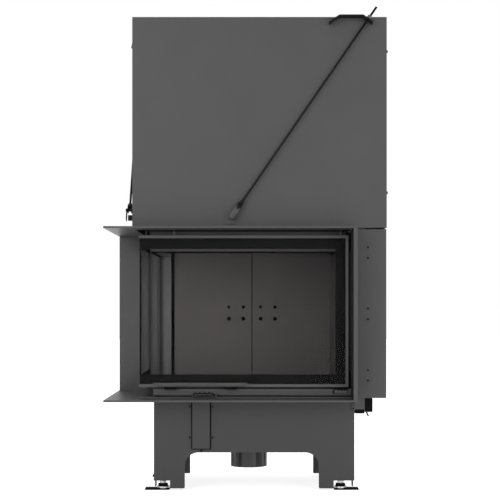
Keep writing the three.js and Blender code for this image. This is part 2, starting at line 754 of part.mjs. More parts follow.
// ---------------------------------------------------------------- counterweight drive
// The counterweight can drop to just above the ceiling, which lets the door rise by 480.
function drive() {
  const guideLeft = housingLeft + guideReachLeft;
  const guideRight = right - guideReachRight;
  const hangerPlate = 6;
  const hangerBottom = shaftHeight - 30;
  const hanger = (x) => join(
    cut(
      block(
        x - hangerPlate / 2, x + hangerPlate / 2, shaftLine - 30, weightLine + guideRadius + 8,
        hangerBottom, railTop,
      ),
      rod(shaftRadius + 2 * gap, 40, 24, 'right').translate(x, shaftLine, shaftHeight),
    ),
    rod(guideRadius, hangerBottom + 4 - (ceilingTop + gap), 16)
      .translate(x, weightLine, (hangerBottom + 4 + ceilingTop + gap) / 2),
  );
  add('left_hanger', hanger(guideLeft), bareSteel);
  add('right_hanger', hanger(guideRight), bareSteel);

  const shaftFrom = guideLeft - hangerPlate / 2 - 6;
  const shaftTo = guideRight + hangerPlate / 2 + 6;
  const sheaveProfile = [
    [0, -sheaveWidth], [shaftRadius + 6, -sheaveWidth], [shaftRadius + 6, -sheaveWidth / 2],
    [sheaveFlange, -sheaveWidth / 2], [sheaveFlange, -sheaveWidth / 2 + 2],
    [sheaveRadius - cableRadius - gap, -2.2], [sheaveRadius - cableRadius - gap, 2.2],
    [sheaveFlange, sheaveWidth / 2 - 2], [sheaveFlange, sheaveWidth / 2],
    [shaftRadius + 6, sheaveWidth / 2], [shaftRadius + 6, sheaveWidth], [0, sheaveWidth],
  ].map(([r, y]) => new THREE.Vector2(r, y));
  const sheave = (x) => new THREE.LatheGeometry(sheaveProfile, 48).rotateZ(Math.PI / 2)
    .translate(x, shaftLine, shaftHeight);
  add('lift_shaft', join(
    rod(shaftRadius, shaftTo - shaftFrom, 24, 'right')
      .translate((shaftFrom + shaftTo) / 2, shaftLine, shaftHeight),
    sheave(leftCable), sheave(rightCable),
  ), bareSteel);

  const slotHalf = guideRadius + guideClearance;
  const end = 12;
  const weightOutline = polygon([
    [guideLeft - end, weightLine - weightDepth / 2], [guideRight + end, weightLine - weightDepth / 2],
    [guideRight + end, weightLine - slotHalf], [guideRight - slotHalf - 1, weightLine - slotHalf],
    [guideRight - slotHalf - 1, weightLine + slotHalf], [guideRight + end, weightLine + slotHalf],
    [guideRight + end, weightLine + weightDepth / 2], [guideLeft - end, weightLine + weightDepth / 2],
    [guideLeft - end, weightLine + slotHalf], [guideLeft + slotHalf + 1, weightLine + slotHalf],
    [guideLeft + slotHalf + 1, weightLine - slotHalf], [guideLeft - end, weightLine - slotHalf],
  ]);
  const weightAnchor = (x) => rod(anchorRadius, anchorHeight / 2 + 1, 12)
    .translate(x, weightLine, weightTop + anchorHeight / 4 - 0.5);
  add('counterweight', join(
    extrude(weightOutline, 'up', weightTop - weightHeight, weightTop),
    weightAnchor(leftCable), weightAnchor(rightCable),
  ), darkPaint);
  cables();
}

// Each door cable runs up from the door and over its sheave; the weight cable hangs behind.
function cables() {
  const over = new THREE.CatmullRomCurve3(Array.from({ length: 13 }, (_, i) => {
    const turn = Math.PI * (i / 12);
    return new THREE.Vector3(0, -sheaveRadius * Math.cos(turn), sheaveRadius * Math.sin(turn));
  }));
  const section = new THREE.Shape(circle(0, 0, cableRadius, 8).getPoints());
  const arc = new THREE.ExtrudeGeometry(section, { steps: 24, bevelEnabled: false, extrudePath: over });
  [['left', leftCable], ['right', rightCable]].forEach(([side, x]) => {
    const from = cableTopOfDoor + gap;
    const rise = shaftHeight + 0.5 - from;
    add(`${side}_door_cable`, join(
      rod(cableRadius, rise, 8).translate(x, cableFront, from + rise / 2),
      arc.clone().translate(x, shaftLine, shaftHeight),
    ), bareSteel);
    const weightFrom = weightTop + anchorHeight / 2 + gap;
    const drop = shaftHeight - gap - weightFrom;
    const hanging = rod(cableRadius, drop, 8).translate(x, weightLine, weightFrom + drop / 2);
    add(`${side}_weight_cable`, hanging, bareSteel);
  });
}

// ---------------------------------------------------------------- housing and ties
function housing() {
  const base = housingBase + gap;
  const behind = housingFront + sheet + gap;
  add('housing_front', extrude(sheetOutline([
    [housingLeft, housingFront], [right, housingFront], [right, pocketBack],
    [right - housingLip, pocketBack],
  ], sheet), 'up', base, housingTop), bodyPaint);
  add('housing_left', block(housingLeft, housingLeft + sheet, behind, back, base, housingTop), bodyPaint);
  const inside = housingLeft + sheet + gap;
  const innerLeft = housingLeft + housingArmWidth;
  add('housing_top', extrude(polygon([
    [inside, behind], [right - sheet - gap, behind], [right - sheet - gap, pocketBack - sheet - gap],
    [innerLeft, pocketBack - sheet - gap], [innerLeft, back], [inside, back],
  ]), 'up', housingTop - sheet, housingTop), bodyPaint);
  const innerRight = right - housingLip - gap;
  const innerBottom = ceilingTop + gap;
  add('housing_inner', cut(
    extrude(sheetOutline([
      [innerRight, pocketBack], [innerLeft, pocketBack], [innerLeft, back], [inside, back],
    ], sheet), 'up', innerBottom, railTop),
    block(
      innerLeft + innerFrame, innerRight - innerFrame, pocketBack - 2 * sheet, pocketBack + sheet,
      base + innerFrame, railTop - innerFrame,
    ),
    block(
      columnLeft - innerFrame, right, pocketBack - 2 * sheet, pocketBack + sheet,
      innerBottom - 1, base + sheet,
    ),
  ), darkPaint);
}

// A tie, drawn for the front face: it leans to the right by lean = 1, to the left by lean = -1.
// Local x runs along the face from the bracket's flank hole, local y is minus the distance off it.
function tie(prefix, lean, place) {
  const direction = new THREE.Vector2(lean * Math.sin(tieAngle), Math.cos(tieAngle));
  const along = (distance, across = 0) => [
    direction.x * distance + direction.y * across, direction.y * distance - direction.x * across,
  ];
  const slope = [Math.cos(tieAngle) * lean, -Math.sin(tieAngle)];
  const half = flankLength / 2;
  const bendX = -slope[0] * half;
  const topZ = -slope[1] * half;
  const farX = bendX - lean * bracketFlat;
  const path = [
    [slope[0] * half, slope[1] * half], [bendX, topZ], [farX, topZ],
    [farX - slope[0] * flankLength, topZ + slope[1] * flankLength],
  ];
  const face = -gap;
  const bracketOutline = sheetOutline(path, bracketThickness * lean);
  const hole = rod(tieRod + 2 * gap, 30, 16, 'forward').rotateX(Math.PI / 2)
    .rotateY(lean * tieAngle).translate(0, -tieOffset, 0);
  const bracket = add(`${prefix}_bracket`, cut(
    extrude(bracketOutline, 'forward', face - bracketDepth, face), hole,
  ), darkPaint);

  const lowEnd = -(housingHeight - tieClevisHeight) / Math.cos(tieAngle);
  const rodLength = tieTail - lowEnd;
  const rodPiece = rod(tieRod, rodLength, 12).translate(0, 0, lowEnd + rodLength / 2);
  const nut = rod(8, 9, 6).translate(0, 0, bracketThickness + 1 + 4.5);
  const clevis = block(-8, 8, -8, 8, lowEnd - 12, lowEnd + 16);
  const pin = rod(5, 2 * tieOffset - 6, 12, 'forward').translate(0, -2, lowEnd - 4);
  const strap = block(-tieStrap / 2, tieStrap / 2, -10, -7, lowEnd - 46, lowEnd - 2);
  const rodMesh = add(prefix, join(
    ...[rodPiece, nut, clevis, pin, strap].map((part) => (
      part.rotateY(lean * tieAngle).translate(0, -tieOffset, 0)
    )),
  ), darkPaint);

  const [lugX, lugZ] = along(lowEnd - 36);
  const lugTop = tieOffset + 7 - gap - 3;
  const lugMesh = add(`${prefix}_lug`, join(
    block(lugX - lean * 8 - 16, lugX - lean * 8 + 16, face - 3, face, lugZ - 26, lugZ + 14),
    block(lugX - 9, lugX + 9, face - lugTop, face - 1, lugZ - 10, lugZ + 8),
  ), darkPaint);

  [bracket, rodMesh, lugMesh].forEach(place);
  return topZ;
}

function ties() {
  const rise = (flankLength / 2) * Math.sin(tieAngle);
  const level = housingTop - rise;
  tie('front_tie', 1, (mesh) => mesh.position.set(right - frontTieFlank, housingFront, level));
  tie('side_tie', -1, (mesh) => {
    mesh.position.set(housingLeft, back - sideTieFlank, level);
    mesh.rotation.z = -Math.PI / 2;
  });
}

pedestal();
feet();
airSupply();
flanges();
firebox();
door();
rails();
drive();
housing();
ties();

export default group;
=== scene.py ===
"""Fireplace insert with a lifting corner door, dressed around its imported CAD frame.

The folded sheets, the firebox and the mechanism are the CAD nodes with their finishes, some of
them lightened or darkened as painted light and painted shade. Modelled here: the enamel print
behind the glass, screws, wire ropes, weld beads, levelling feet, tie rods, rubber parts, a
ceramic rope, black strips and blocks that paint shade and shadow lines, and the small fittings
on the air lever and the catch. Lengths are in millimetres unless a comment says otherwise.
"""

import math

import bmesh
import bpy
from mathutils import Matrix, Vector


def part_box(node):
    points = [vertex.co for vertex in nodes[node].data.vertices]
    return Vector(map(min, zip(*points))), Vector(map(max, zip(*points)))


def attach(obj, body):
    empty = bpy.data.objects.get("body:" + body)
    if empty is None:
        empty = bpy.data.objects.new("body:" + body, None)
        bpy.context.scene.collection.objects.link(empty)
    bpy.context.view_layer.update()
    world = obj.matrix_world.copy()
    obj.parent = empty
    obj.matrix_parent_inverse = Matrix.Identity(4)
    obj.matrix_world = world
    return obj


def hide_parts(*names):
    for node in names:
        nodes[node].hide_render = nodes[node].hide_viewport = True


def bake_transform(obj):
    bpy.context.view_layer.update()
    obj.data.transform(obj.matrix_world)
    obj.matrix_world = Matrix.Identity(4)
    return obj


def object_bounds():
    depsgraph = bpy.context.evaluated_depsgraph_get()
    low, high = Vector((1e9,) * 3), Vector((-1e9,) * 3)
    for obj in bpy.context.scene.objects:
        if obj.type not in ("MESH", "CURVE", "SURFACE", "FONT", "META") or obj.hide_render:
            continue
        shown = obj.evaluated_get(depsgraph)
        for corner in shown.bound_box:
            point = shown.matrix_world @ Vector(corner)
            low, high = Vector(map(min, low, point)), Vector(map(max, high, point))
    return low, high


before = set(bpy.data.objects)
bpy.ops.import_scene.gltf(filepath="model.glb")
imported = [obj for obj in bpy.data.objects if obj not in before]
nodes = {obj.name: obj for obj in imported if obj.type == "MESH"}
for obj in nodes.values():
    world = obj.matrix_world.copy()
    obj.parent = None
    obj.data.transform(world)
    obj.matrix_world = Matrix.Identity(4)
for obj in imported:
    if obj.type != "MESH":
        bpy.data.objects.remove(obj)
cad_box = [list(corner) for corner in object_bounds()]
MM = 0.001
FRONT, RIGHT = (0, -1, 0), (1, 0, 0)  # directions that screws face
QUARTER = math.radians(90)


# ---------------------------------------------------------------- camera and studio

CAMERA_HEIGHT = 0.602  # in metres: the photograph's horizon is level with the glass
CAMERA_DISTANCE = 4.2  # in metres, from the front edge of the flanges
CAMERA_SIDE = 0.0115  # in metres, from the middle of the part
IMAGE_SHIFT = 0.114  # raises the frame, because the photograph looks level along the floor
LENS = 94.5  # focal length that frames the part as the photograph does
SENSOR = 36

front_edge = cad_box[0][1]
camera_data = bpy.data.cameras.new("camera")
camera_data.lens = LENS
camera_data.sensor_width = SENSOR
camera_data.shift_y = IMAGE_SHIFT
camera = bpy.data.objects.new("camera", camera_data)
camera.location = (CAMERA_SIDE, front_edge - CAMERA_DISTANCE, CAMERA_HEIGHT)
camera.rotation_euler = (QUARTER, 0, 0)
bpy.context.scene.collection.objects.link(camera)
bpy.context.scene.camera = camera
bpy.context.scene.view_settings.view_transform = "Standard"


def soft_lamp(name, place, aim_height, side, watts):
    """A studio softbox: a large square lamp turned to a point on the part's axis, in metres."""
    data = bpy.data.lights.new(name, "AREA")
    data.shape = "RECTANGLE"
    data.size = side
    data.size_y = side
    data.energy = watts
    lamp = bpy.data.objects.new(name, data)
    lamp.location = place
    aim = Vector((0, 0, aim_height))
    lamp.rotation_euler = (aim - Vector(place)).to_track_quat("-Z", "Y").to_euler()
    bpy.context.scene.collection.objects.link(lamp)


soft_lamp("key", (-2.4, -4.2, 1.9), aim_height=0.7, side=2.4, watts=60)
soft_lamp("fill", (2.6, -4.0, 1.2), aim_height=0.7, side=2.4, watts=38)
soft_lamp("top", (0.2, 0.4, 4.0), aim_height=0.8, side=2.6, watts=40)


# ---------------------------------------------------------------- materials


def colour(code):
    """An sRGB hex colour as the linear values that Blender's sockets take."""
    shares = [int(code[i : i + 2], 16) / 255 for i in (0, 2, 4)]
    return [s / 12.92 if s <= 0.04045 else ((s + 0.055) / 1.055) ** 2.4 for s in shares] + [1]


def new_material(name):
    """An empty node material with its Principled shader and its output."""
    made = bpy.data.materials.new(name)
    made.use_nodes = True
    return made, made.node_tree.nodes["Principled BSDF"]


def add_node(made, kind, settings=None, links=None):
    """Adds one node: settings are its properties or input values, links its inputs' sources."""
    node = made.node_tree.nodes.new("ShaderNode" + kind)
    for name, value in (settings or {}).items():
        if isinstance(name, str) and hasattr(node, name):
            setattr(node, name, value)
        else:
            node.inputs[name].default_value = value
    for name, source in (links or {}).items():
        made.node_tree.links.new(node.inputs[name], source)
    return node


def per_metre(millimetres):
    """A noise scale whose grains have that size, on coordinates in metres."""
    return 1 / (millimetres * MM)


RAMP_ENDS = (0.32, 0.68)  # the share of the noise where a finish is wholly dark, and wholly light


def mottled(
    name,
    light,
    dark,
    patch,
    grain,
    bump,
    roughness,
    spread=0.06,
    metallic=0,
    gloss=0.5,
    stretch=None,
):
    """A coated, cast or drawn surface: two tones in patches, and a fine grain that is felt.

    patch and grain are the sizes of the two patterns, and bump is the grain's height. The
    roughness goes up and down by spread with the grain, gloss is the strength of the
    reflections, and stretch draws the patterns out along an axis.
    """
    made, shader = new_material(name)
    shader.inputs["Specular IOR Level"].default_value = gloss
    place = add_node(made, "TexCoord").outputs["Object"]
    if stretch:
        place = add_node(made, "Mapping", {"Scale": stretch}, {"Vector": place}).outputs["Vector"]
    patches = add_node(
        made,
        "TexNoise",
        {"Scale": per_metre(patch), "Detail": 4, "Roughness": 0.6},
        {"Vector": place},
    )
    grains = add_node(
        made,
        "TexNoise",
        {"Scale": per_metre(grain), "Detail": 3, "Roughness": 0.55},
        {"Vector": place},
    )
    tone = add_node(made, "ValToRGB", {}, {"Fac": patches.outputs["Fac"]})
    for stop, end, code in zip(tone.color_ramp.elements, RAMP_ENDS, (dark, light)):
        stop.position = end
        stop.color = colour(code)
    sheen = add_node(
        made,
        "MapRange",
        {"To Min": roughness - spread, "To Max": roughness + spread},
        {"Value": grains.outputs["Fac"]},
    )
    relief = add_node(
        made,
        "Bump",
        {"Distance": bump * MM, "Strength": 0.5},
        {"Height": grains.outputs["Fac"]},
    )
    links = made.node_tree.links
    links.new(shader.inputs["Base Color"], tone.outputs["Color"])
    links.new(shader.inputs["Roughness"], sheen.outputs["Result"])
    links.new(shader.inputs["Normal"], relief.outputs["Normal"])
    shader.inputs["Metallic"].default_value = metallic
    return made


# Heat-proof grey powder coat, sprayed and baked on folded steel: even, dull, faintly grained.
# Its grain is 0.3 mm; it is drawn at 5 mm so that it shows at all.
grey_coat = mottled("grey_powder_coat", "4d4d4d", "4a4a4a", 180, 5, 0.06, 0.4, gloss=0.3)
# The same coat on the pedestal, a shade darker.
base_coat = mottled("pedestal_powder_coat", "404040", "3e3e3e", 180, 5, 0.06, 0.4, gloss=0.3)
# The same coat, a tone lighter as painted light, on the door frame, the rear post and the catch
# plate.
lit_grey_coat = mottled("grey_powder_coat_painted_light", "5c5c5c", "585858", 180, 5, 0.06, 0.4, gloss=0.3)
# Black stove paint on the firebox shell, its welds and the carriages: matt, soaks up the light.
# The strip in the slot beside the door takes it as painted shade.
stove_black_and_painted_shade = mottled("black_stove_paint_and_painted_shade", "242322", "1c1c1c", 90, 4, 0.15, 0.7, gloss=0.2)
# Glossy black enamel on the air spigot: a hard clear shine.
gloss_black = mottled("black_gloss_enamel", "1f1f1f", "1c1c1c", 120, 12, 0.01, 0.3, 0.02)
# Pressed vermiculite board: flaky grains with a warm, slightly purple grey.
lining_board = mottled("pressed_vermiculite", "544f4f", "4f4b4b", 60, 3.2, 0.3, 0.92)
# The same board on the right wall and the baffle, darker as painted shade: still matt.
shaded_board = mottled("vermiculite_painted_shade", "3a3737", "322f2f", 60, 3.2, 0.3, 0.94)
# Soot on the bushes of the air holes and on the joints of the lining: takes all the light.
# The same black paints the shade under the air-wash channel.
soot_black_and_painted_shade = mottled("soot_black_steel_and_painted_shade", "0c0b0b", "080808", 20, 2, 0.1, 0.9, gloss=0.05)
# Zinc-plated steel: pale, bluish and softly clouded.
zinc = mottled("zinc_plated_steel", "c3c5c8", "a9acb0", 9, 1.6, 0.03, 0.36, 0.08, metallic=1)
# Drawn bright steel: fine lines along the bar, so the pattern is drawn out along X.
DRAWN = (0.05, 1, 1)
bright_steel = mottled(
    "drawn_bright_steel", "9d9b97", "85837f", 6, 1.5, 0.03, 0.34, 0.08, metallic=1, stretch=DRAWN
)
# Galvanised wire rope, oiled and dusty: a dull grey with faint lights on the strands.
rope_steel = mottled("oiled_wire_rope", "5a5957", "444341", 5, 1.2, 0.05, 0.5, 0.08, metallic=0.8)
# Cold-rolled steel blacked in hot oil, on the ties and screws: nearly black, with a sheen.
# The same black on the tie brackets, the side lug and the side strap is painted shade.
blacked_steel_and_painted_shade = mottled("oil_blacked_steel_and_painted_shade", "101010", "0c0c0c", 14, 2, 0.03, 0.32, gloss=0.14)
# Zinc-phosphated steel on the nuts, the ferrules and the left rail: mid grey, dull.
phosphated = mottled("phosphated_steel", "6c6c6c", "585858", 9, 1.6, 0.03, 0.5, 0.08, metallic=0.7)
# Grey iron casting, left rough from the sand mould and oiled.
cast_iron = mottled("sand_cast_iron", "3d3b39", "2e2d2b", 12, 2.4, 0.4, 0.66, metallic=0.6)
# Moulded black rubber: dead matt. The same black paints the shade under the handle's lugs and
# the shadow lines round the air cover.
black_rubber_and_painted_shade = mottled("black_rubber_and_painted_shade", "101010", "0b0b0b", 20, 2, 0.1, 0.8, gloss=0.08)
# Black enamel printed on the glass: dense, smooth, almost without shine.
enamel = mottled("black_glass_enamel", "0e0e0e", "0b0b0b", 60, 6, 0.01, 0.5, 0.05, gloss=0.05)

# Glass ceramic: clear and slightly smoky, with an even polish that shows faint fingerprints.
GLASS_TINT = colour("eeeeee")
GLASS_IOR = 1.09  # real glass has 1.5; the photograph's pane reflects dark studio walls
SMEAR_SIZE = 70  # about a hand's width
SMEAR_ROUGHNESS = 0.004
fire_glass, glass_shader = new_material("smoky_glass_ceramic")
glass_shader.inputs["Base Color"].default_value = GLASS_TINT
glass_shader.inputs["Transmission Weight"].default_value = 1
glass_shader.inputs["IOR"].default_value = GLASS_IOR
glass_smears = add_node(
    fire_glass,
    "TexNoise",
    {"Scale": per_metre(SMEAR_SIZE), "Detail": 3},
    {"Vector": add_node(fire_glass, "TexCoord").outputs["Object"]},
)
glass_polish = add_node(
    fire_glass,
    "MapRange",
    {"To Min": 0.0, "To Max": SMEAR_ROUGHNESS},
    {"Value": glass_smears.outputs["Fac"]},
)
fire_glass.node_tree.links.new(glass_shader.inputs["Roughness"], glass_polish.outputs["Result"])
# The lamps shine through the pane, as they do through 4 mm of real glass.
glass_light = add_node(
    fire_glass,
    "MixShader",
    {},
    {
        0: add_node(fire_glass, "LightPath").outputs["Is Shadow Ray"],
        1: glass_shader.outputs["BSDF"],
        2: add_node(fire_glass, "BsdfTransparent", {"Color": GLASS_TINT}).outputs["BSDF"],
    },
)
fire_glass.node_tree.links.new(
    fire_glass.node_tree.nodes["Material Output"].inputs["Surface"], glass_light.outputs["Shader"]
)

finishes = {
    grey_coat: [
        "bottom_flange",
        "top_flange",
        "right_flange",
        "rear_left_flange",
        "column_cover",
        "housing_front",
        "housing_left",
        "housing_top",
        "housing_inner",
        "door_handle",
        "sill",
        "front_tie_lug",
        "hearth_plate",
        "airwash_channel",
        "right_rail",
    ],
    # Door frame and rear post: the grey coat lightened as painted light.
    lit_grey_coat: ["door_frame", "rear_left_post"],
    base_coat: [
        "pedestal_front",
        "pedestal_rear",
        "pedestal_left",
        "pedestal_right",
        "air_channel_cover",
        "air_lever",
    ],
    stove_black_and_painted_shade: [
        "firebox_rear_wall",
        "firebox_right_wall",
        "firebox_ceiling",
        "flue_collar",
        "air_slide",
        "right_carriage",
        "left_carriage",
        "left_hanger",
        "right_hanger",
    ],
    gloss_black: ["air_inlet"],
    lining_board: ["lining_floor", "lining_back_left", "lining_back_right"],
    # The right lining and the baffle: the board darkened as painted shade.
    shaded_board: ["lining_right", "baffle"],
    zinc: ["foot_front_left", "foot_front_right", "foot_rear_left", "foot_rear_right"],
    phosphated: ["left_rail"],
    bright_steel: [
        "lift_shaft",
        "roller_right_lower",
        "roller_right_upper",
        "roller_left_lower",
        "roller_left_upper",
        "left_door_cable",
        "right_door_cable",
        "left_weight_cable",
        "right_weight_cable",
    ],
    blacked_steel_and_painted_shade: [
        "front_tie",
        "side_tie",
        # The tie brackets and the side lug: black as painted shade.
        "front_tie_bracket",
        "side_tie_bracket",
        "side_tie_lug",
    ],
    cast_iron: ["counterweight"],
    fire_glass: ["front_glass", "side_glass"],
}
for finish, names in finishes.items():
    for name in names:
        nodes[name].material_slots[0].material = finish


# ---------------------------------------------------------------- modelling helpers

SMOOTH_BELOW = math.radians(35)  # edges with less turn than this are shaded smooth
END_FACE = 0.9  # a face counts as an end when its normal goes this far along Z
SCREW_SIDES = 24
SCREW_DOME = 0.55  # how far down the head is rounded, as a share of its height
SOCKET_RIM = 0.3  # the flat round the socket, as a share of the radius
SOCKET_DEPTH = 0.6  # as a share of the height


def corners(node):
    """A CAD node's lowest and highest corners."""
    return [[value / MM for value in corner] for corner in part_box(node)]


def middle_of(node, *axes):
    """The centre of a CAD node's box on the given axes."""
    low, high = corners(node)
    return [(low[axis] + high[axis]) / 2 for axis in axes]


def only(piece):
    """Leaves just this piece selected and active, in object mode."""
    bpy.ops.object.select_all(action="DESELECT")
    piece.select_set(True)
    bpy.context.view_layer.objects.active = piece


def edit(piece, mode="FACE"):
    """Opens a piece in edit mode with nothing selected."""
    only(piece)
    bpy.ops.object.mode_set(mode="EDIT")
    bpy.ops.mesh.select_mode(type=mode)
    bpy.ops.mesh.select_all(action="DESELECT")


def pick(piece, test):
    """Selects the faces of the open piece whose centre and normal pass the test."""
    mesh = bmesh.from_edit_mesh(piece.data)
    for face in mesh.faces:
        face.select_set(test(face.calc_center_median(), face.normal))
    mesh.select_flush_mode()
    bmesh.update_edit_mesh(piece.data)


def shape_with(piece, kind, **settings):
    """Adds one modifier, sets it and applies it."""
    made = piece.modifiers.new(kind.lower(), kind)
    for name, value in settings.items():
        setattr(made, name, value)
    only(piece)
    bpy.ops.object.modifier_apply(modifier=made.name)


def joined(parts):
    """Makes one object of several."""
    only(parts[0])
    for part in parts:
        part.select_set(True)
    bpy.ops.object.join()
    return parts[0]


def settle(piece, name, finish, body="root"):
    """Puts the piece's place into its mesh, then gives it its name, finish, body and slot."""
    only(piece)
    bpy.ops.object.transform_apply(location=True, rotation=True, scale=True)
    piece.name = name
    piece.data.materials.clear()
    piece.data.materials.append(finish)
    bpy.ops.object.shade_smooth_by_angle(angle=SMOOTH_BELOW)
    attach(piece, body)
    return piece


def rounded_slab(low, high, radius, segments=3):
    """A block between two corners, with every edge rounded."""
    size = [(b - a) * MM for a, b in zip(low, high)]
    centre = [(a + b) / 2 * MM for a, b in zip(low, high)]
    bpy.ops.mesh.primitive_cube_add(size=1, location=centre, scale=size)
    piece = bpy.context.object
    only(piece)
    bpy.ops.object.transform_apply(location=False, rotation=False, scale=True)
    shape_with(piece, "BEVEL", width=radius * MM, segments=segments, limit_method="NONE")
    return piece


def button_screw(place, facing, radius, height):
    """A low domed screw head with a round socket, seated at place and looking along facing."""
    bpy.ops.mesh.primitive_cylinder_add(
        vertices=SCREW_SIDES, radius=radius * MM, depth=height * MM
    )
    piece = bpy.context.object
    top = height / 2 * MM
    edit(piece)
    pick(piece, lambda centre, normal: normal.z > END_FACE)
    bpy.ops.mesh.bevel(offset=height * SCREW_DOME * MM, segments=3, affect="EDGES")
    pick(piece, lambda centre, normal: normal.z > 0.99 and centre.z > top * 0.9)
    bpy.ops.mesh.inset(thickness=radius * SOCKET_RIM * MM)
    bpy.ops.mesh.extrude_region_move(
        TRANSFORM_OT_translate={"value": (0, 0, -height * SOCKET_DEPTH * MM)}
    )
    bpy.ops.object.mode_set(mode="OBJECT")
    piece.rotation_euler = Vector(facing).to_track_quat("Z", "Y").to_euler()
    piece.location = Vector(place) * MM + Vector(facing) * top
    return piece


def screws(name, places, facing, radius, height, finish=blacked_steel_and_painted_shade):
    """A set of equal screws in the standing body, as one piece."""
    heads = [button_screw(place, facing, radius, height) for place in places]
    settle(joined(heads), name, finish)


# ---------------------------------------------------------------- enamel print on the glass

PRINT_GAP = 0.2  # from the pane's inner face to the middle of the print
PRINT_SKIN = 0.15
PRINT_TOP = 35.2  # widths of the printed border
PRINT_BOTTOM = 31.6
PRINT_END = 33
PAST_CORNER = 1  # the windows run on past the corner where the panes meet


def enamel_print(name, pane, run, depth, window_low, window_high):
    """A border of enamel behind a pane: a sheet cut at the window, whose middle is taken out.

    run is the axis along the pane, 0 or 1, and depth the place of the print on the other one.
    """
    low, high = corners(pane)
    bpy.ops.mesh.primitive_plane_add(size=1)
    piece = bpy.context.object
    only(piece)
    piece.rotation_euler = (QUARTER, 0, run * QUARTER)
    piece.scale = ((high[run] - low[run]) * MM, (high[2] - low[2]) * MM, 1)
    centre = [0, 0, (low[2] + high[2]) / 2 * MM]
    centre[run] = (low[run] + high[run]) / 2 * MM
    centre[1 - run] = depth * MM
    piece.location = centre
    bpy.ops.object.transform_apply(location=True, rotation=True, scale=True)
    along = (1 - run, run, 0)
    cuts = [
        (window_low[1], (0, 0, 1)),
        (window_high[1], (0, 0, 1)),
        (window_low[0], along),
        (window_high[0], along),
    ]
    for level, normal in cuts:
        edit(piece)
        bpy.ops.mesh.select_all(action="SELECT")
        point = [level * MM * part for part in normal]
        bpy.ops.mesh.bisect(plane_co=point, plane_no=normal)
        bpy.ops.object.mode_set(mode="OBJECT")
    edit(piece)
    pick(
        piece,
        lambda centre, normal: (
            window_low[0] < centre[run] / MM < window_high[0]
            and window_low[1] < centre.z / MM < window_high[1]
        ),
    )
    bpy.ops.mesh.delete(type="FACE")
    bpy.ops.object.mode_set(mode="OBJECT")
    shape_with(piece, "SOLIDIFY", thickness=PRINT_SKIN * MM, offset=0)
    settle(piece, name, enamel, "door")


front_low, front_high = corners("front_glass")
side_low, side_high = corners("side_glass")
print_low = front_low[2] + PRINT_BOTTOM
print_high = front_high[2] - PRINT_TOP
enamel_print(
    "front_glass_print",
    "front_glass",
    0,
    front_high[1] + PRINT_GAP,
    (front_low[0] - PAST_CORNER, print_low),
    (front_high[0] - PRINT_END, print_high),
)
enamel_print(
    "side_glass_print",
    "side_glass",
    1,
    side_high[0] + PRINT_GAP,
    (side_low[1] - PAST_CORNER, print_low),
    (side_high[1] - PRINT_END, print_high),
)


# ---------------------------------------------------------------- screws

COLUMN_SCREW_LINE = 398.5  # from the part's middle
COLUMN_SCREWS = (798, 763, 597, 562, 395, 361)  # heights of the three pairs
COVER_SCREW_SIDE = 9  # beside the air cover
COVER_SCREW_RISE = 36  # over its lower end
COVER_SCREW_DROP = 22  # under its upper end
HOUSING_SCREW_INSET = 12  # behind the housing's front face
HOUSING_SCREWS = (1439, 976)  # heights

column_low, column_high = corners("column_cover")
cover_low, cover_high = corners("air_channel_cover")
pedestal_front = corners("pedestal_front")[0][1]
housing_low, housing_high = corners("housing_front")
screws(
    "column_screws",
    [(COLUMN_SCREW_LINE, column_low[1], level) for level in COLUMN_SCREWS],
    FRONT,
    radius=3.6,
    height=1.6,
)
screws(
    "air_cover_screws",
    [
        (x, pedestal_front, z)
        for x in (cover_low[0] - COVER_SCREW_SIDE, cover_high[0] + COVER_SCREW_SIDE)
        for z in (cover_low[2] + COVER_SCREW_RISE, cover_high[2] - COVER_SCREW_DROP)
    ],
    FRONT,
    radius=3.4,
    height=1.6,
)
screws(
    "housing_end_screws",
    [(housing_high[0], housing_low[1] + HOUSING_SCREW_INSET, z) for z in HOUSING_SCREWS],
    RIGHT,
    radius=5,
    height=4.6,
    finish=stove_black_and_painted_shade,
)


# ---------------------------------------------------------------- wire ropes

ROPE_RADIUS = 2
LAY_LENGTH = 30  # one turn of the strands along the rope
STRANDS = 6
STRAND_POINTS = 4  # corners of the outline on each strand
VALLEY = 0.84  # the outline's radius between two strands, as a share of the rope's
ROPE_STEP = 2.5  # between two rings of the mesh
STRAND_SMOOTH_BELOW = math.radians(50)
SHEAVE_LINE = 45  # the rope's centre line on the sheave


def wire_rope(length):
    """A stranded rope along Z from the origin: a lobed outline, wound and drawn up the axis."""
    outline = []
    around = STRANDS * STRAND_POINTS
    for index in range(around):
        angle = 2 * math.pi * index / around
        lobe = abs(math.cos(STRANDS * angle / 2))
        reach = ROPE_RADIUS * MM * (VALLEY + (1 - VALLEY) * lobe)
        outline.append((reach * math.cos(angle), reach * math.sin(angle), 0))
    mesh = bpy.data.meshes.new("wire_rope")
    mesh.from_pydata(outline, [], [tuple(range(around))])
    piece = bpy.data.objects.new("wire_rope", mesh)
    bpy.context.collection.objects.link(piece)
    steps = max(2, round(length / ROPE_STEP))
    rise = length / steps
    twist = 2 * math.pi * rise / LAY_LENGTH
    bm = bmesh.new()
    bm.from_mesh(mesh)
    ring = list(bm.verts)
    bmesh.ops.reverse_faces(bm, faces=bm.faces[:])
    for index in range(1, steps + 1):
        cosine, sine = math.cos(twist * index), math.sin(twist * index)
        level = rise * index * MM
        upper = [
            bm.verts.new((x * cosine - y * sine, x * sine + y * cosine, level))
            for x, y, _ in outline
        ]
        for a in range(around):
            b = (a + 1) % around
            bm.faces.new((ring[a], ring[b], upper[b], upper[a]))
        ring = upper
    bm.faces.new(ring)
    bm.to_mesh(mesh)
    bm.free()
    return piece


